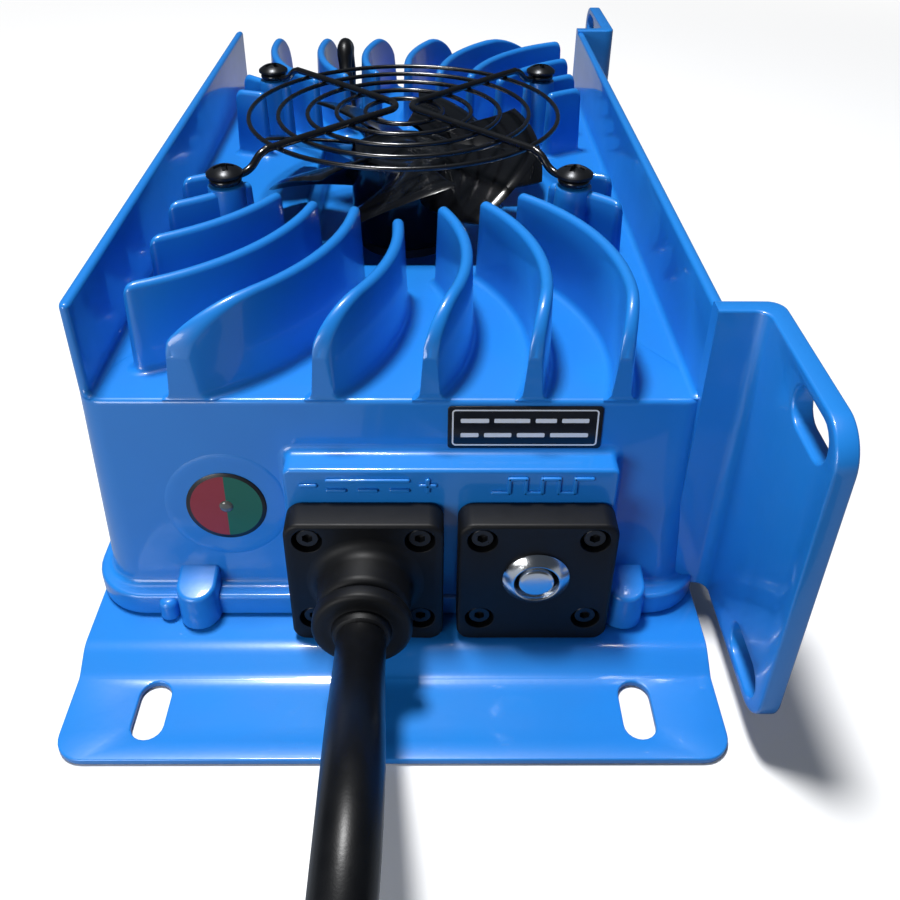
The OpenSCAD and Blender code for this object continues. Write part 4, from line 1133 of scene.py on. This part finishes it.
def set_world():
    """World that is white to the camera and through glass, and a weak, cool light to all else."""
    world = bpy.data.worlds.new("studio")
    bpy.context.scene.world = world
    tree = empty_tree(world)
    soft = node(tree, "ShaderNodeBackground", {"Color": srgb("C9DDF6"), "Strength": 0.085})
    white = node(tree, "ShaderNodeBackground", {"Color": srgb("FFFFFF"), "Strength": 1.0})
    rays = node(tree, "ShaderNodeLightPath").outputs
    seen = node(tree, "ShaderNodeMath", {"operation": "MAXIMUM"}, i0=rays["Is Camera Ray"],
                i1=rays["Is Transmission Ray"])
    mix = node(tree, "ShaderNodeMixShader", None, i0=seen.outputs[0], i1=soft.outputs[0], i2=white.outputs[0])
    node(tree, "ShaderNodeOutputWorld", None, Surface=mix.outputs[0]).is_active_output = True


def floor_material():
    """Diffuse floor: pale to the camera and white from 0.4 to 0.85 m out, grey in gleams, dim as a light."""
    material = bpy.data.materials.new("pale_floor")
    tree = empty_tree(material)
    pale, dim, mid = (node(tree, "ShaderNodeBsdfDiffuse", {"Color": srgb(code)}).outputs[0]
                      for code in ("F4F4F4", "7A8088", "9AA0A8"))
    white = node(tree, "ShaderNodeEmission", {"Color": srgb("FFFFFF"), "Strength": 1.0}).outputs[0]
    rays = node(tree, "ShaderNodeLightPath").outputs
    place = node(tree, "ShaderNodeTexCoord").outputs["Object"]
    away = node(tree, "ShaderNodeVectorMath", {"operation": "LENGTH"}, i0=place).outputs["Value"]
    fade = node(tree, "ShaderNodeMapRange", {1: 0.4, 2: 0.85}, i0=away).outputs[0]
    surface = dim
    edgeless = node(tree, "ShaderNodeMixShader", None, i0=fade, i1=pale, i2=white).outputs[0]
    for kind, shader in (("Is Glossy Ray", mid), ("Is Camera Ray", edgeless)):
        surface = node(tree, "ShaderNodeMixShader", None, i0=rays[kind], i1=surface, i2=shader).outputs[0]
    node(tree, "ShaderNodeOutputMaterial", None, Surface=surface)
    return material


def set_stage():
    """A lamp nearly overhead, a weaker one low in front, the world and the floor."""
    bpy.context.scene.view_settings.view_transform = "Standard"
    set_world()
    lamp("key", (-0.22, 0.05, 1.6), (0, 0, 0.05), 0.28, 32.5)
    lamp("front_fill", (-0.32, -0.62, 0.2), (-0.02, -0.12, 0.05), 0.3, 1.75)
    mesh = bpy.data.meshes.new("floor")
    side, z = 4.0, -0.0002
    corners = [(-side, -side, z), (side, -side, z), (side, side, z), (-side, side, z)]
    mesh.from_pydata(corners, [], [(0, 1, 2, 3)])
    mesh.materials.append(floor_material())
    floor = bpy.data.objects.new("floor", mesh)
    bpy.context.scene.collection.objects.link(floor)


# Add-on


class ChargerColours(bpy.types.PropertyGroup):
    enamel: StringProperty(name="Enamel", description="Colour of the casting, as sRGB hex", default="1D81D8")
    enamel_deep: StringProperty(name="Deep enamel", description="Second colour of the casting",
                                default="1B7AD1")


class ChargerSizes(bpy.types.PropertyGroup):
    fin_height: FloatProperty(name="Fin height", description="Height of the fins above the deck",
                              default=0.0252, unit="LENGTH")
    fin_ridge: FloatProperty(name="Fin ridge", description="Thickness of a fin at its ridge",
                             default=0.0033, unit="LENGTH")
    blade_thickness: FloatProperty(name="Blade thickness", description="Thickness of a fan blade",
                                   default=0.0016, unit="LENGTH")
    blade_count: IntProperty(name="Blades", description="Number of fan blades", default=7, min=3)
    guard_rings: IntProperty(name="Guard rings", description="Number of wire rings in the guard",
                             default=5, min=1)


class CHARGER_OT_stage(bpy.types.Operator):
    """Makes the camera, the lamps and the floor"""

    bl_idname = "charger.stage"
    bl_label = "Stage"

    def execute(self, context):
        set_camera()
        set_stage()
        return {"FINISHED"}


class CHARGER_OT_cord(bpy.types.Operator):
    """Makes the output cord with its coil, its ties and its plug"""

    bl_idname = "charger.cord"
    bl_label = "Output cord"

    def execute(self, context):
        path = cord_path()
        obj = link("charger_cord", tube(path, CORD_D / 2, 20), "cord_jacket",
                   ("output_cord", "output_cord_coil"), sharp=60)
        ties = link("charger_cord_ties", join([cord_tie(250), cord_tie(330)]), "satin_plastic")
        end = link("charger_plug", plug(), "plug_plastic", ("cord_plug",))
        return {"FINISHED"}


class CHARGER_OT_casting(bpy.types.Operator):
    """Makes the painted casting with its fins and ears, and the base plate under it"""

    bl_idname = "charger.casting"
    bl_label = "Casting and base plate"

    def execute(self, context):
        link("charger_casting", casting(), "blue_paint", ("housing",))
        link("charger_base_plate", base_plate(), "blue_paint", ("base_plate",))
        link("charger_panel_marks", panel_marks(), "blue_paint")
        return {"FINISHED"}


class CHARGER_OT_connectors(bpy.types.Operator):
    """Makes the connector plates, their screws, the glands and the push-button"""

    bl_idname = "charger.connectors"
    bl_label = "Connector plates"

    def execute(self, context):
        with_hood = join([connector_plate(OUTPUT_X), hood()])
        link("charger_output_plate", with_hood, "satin_plastic", ("output_plate",))
        link("charger_signal_plate", connector_plate(SIGNAL_X, 7.6), "satin_plastic", ("signal_plate",))
        link("charger_output_screws", plate_screws(OUTPUT_X), "black_oxide", ("output_plate_screws",))
        link("charger_signal_screws", plate_screws(SIGNAL_X), "black_oxide", ("signal_plate_screws",))
        link("charger_output_gland", gland(), "satin_plastic", ("output_gland",))
        link("charger_rear_gland", rear_gland(), "satin_plastic", ("input_gland",))
        link("charger_bezel", bezel(), "bright_steel", ("button_bezel",))
        link("charger_button", button_cap(), "bright_steel", ("button_cap",), body=BUTTON)
        return {"FINISHED"}


class CHARGER_OT_fan(bpy.types.Operator):
    """Makes the fan, its lead, its wire guard and the guard's screws"""

    bl_idname = "charger.fan"
    bl_label = "Fan and guard"

    def execute(self, context):
        link("charger_fan", rotor(), "fan_plastic", ("fan_rotor",), body=FAN, sharp=50)
        link("charger_fan_lead", fan_lead(), "cord_jacket", ("fan_lead",))
        link("charger_guard", guard(), "black_steel", ("fan_guard",))
        link("charger_guard_screws", guard_screws(), "black_oxide", ("guard_screws",))
        return {"FINISHED"}


class CHARGER_OT_prints(bpy.types.Operator):
    """Makes the black label and the round two-colour sticker"""

    bl_idname = "charger.prints"
    bl_label = "Prints"

    def execute(self, context):
        link("charger_label", label_base(), "label_film", ("voltage_label",))
        link("charger_label_print", label_print(), "label_film", finish="white_ink")
        link("charger_sticker", sticker_base(), "indicator_film", ("indicator_disc",))
        link("charger_sticker_red", sticker_half(-1), "indicator_film", finish="red_ink")
        link("charger_sticker_green", sticker_half(1), "indicator_film", finish="green_ink")
        link("charger_sticker_dot", sticker_dot(), "indicator_film", finish="clear_resin")
        return {"FINISHED"}


class CHARGER_OT_frame_finishes(bpy.types.Operator):
    """Gives each solid of the frame the finish that the record names"""

    bl_idname = "charger.frame_finishes"
    bl_label = "Frame finishes"

    def execute(self, context):
        slots = {s["node"]: s["material_slot"] for s in frame["record"]["subparts"]}
        for name, obj in frame["nodes"].items():
            obj.data.materials.clear()
            obj.data.materials.append(FINISH[slots[name]])
        return {"FINISHED"}


class CHARGER_PT_panel(bpy.types.Panel):
    """Lists the pieces of the charger"""

    bl_idname = "CHARGER_PT_panel"
    bl_label = "Charger"
    bl_space_type = "VIEW_3D"
    bl_region_type = "UI"
    bl_category = "Charger"

    def draw(self, context):
        for operator in OPERATORS:
            self.layout.operator(operator.bl_idname)


OPERATORS = (CHARGER_OT_stage, CHARGER_OT_cord, CHARGER_OT_casting, CHARGER_OT_connectors, CHARGER_OT_fan,
             CHARGER_OT_prints, CHARGER_OT_frame_finishes)
CLASSES = (ChargerColours, ChargerSizes, *OPERATORS, CHARGER_PT_panel)
FINISH = {}


def register():
    for cls in CLASSES:
        bpy.utils.register_class(cls)
    bpy.types.Scene.charger_colours = PointerProperty(type=ChargerColours)
    bpy.types.Scene.charger_sizes = PointerProperty(type=ChargerSizes)


def unregister():
    del bpy.types.Scene.charger_colours
    del bpy.types.Scene.charger_sizes
    for cls in reversed(CLASSES):
        bpy.utils.unregister_class(cls)


def main():
    """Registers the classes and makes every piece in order."""
    register()
    FINISH.update(finishes())
    for operator in OPERATORS:
        group, name = operator.bl_idname.split(".")
        getattr(getattr(bpy.ops, group), name)()


if __name__ == "__main__":
    main()
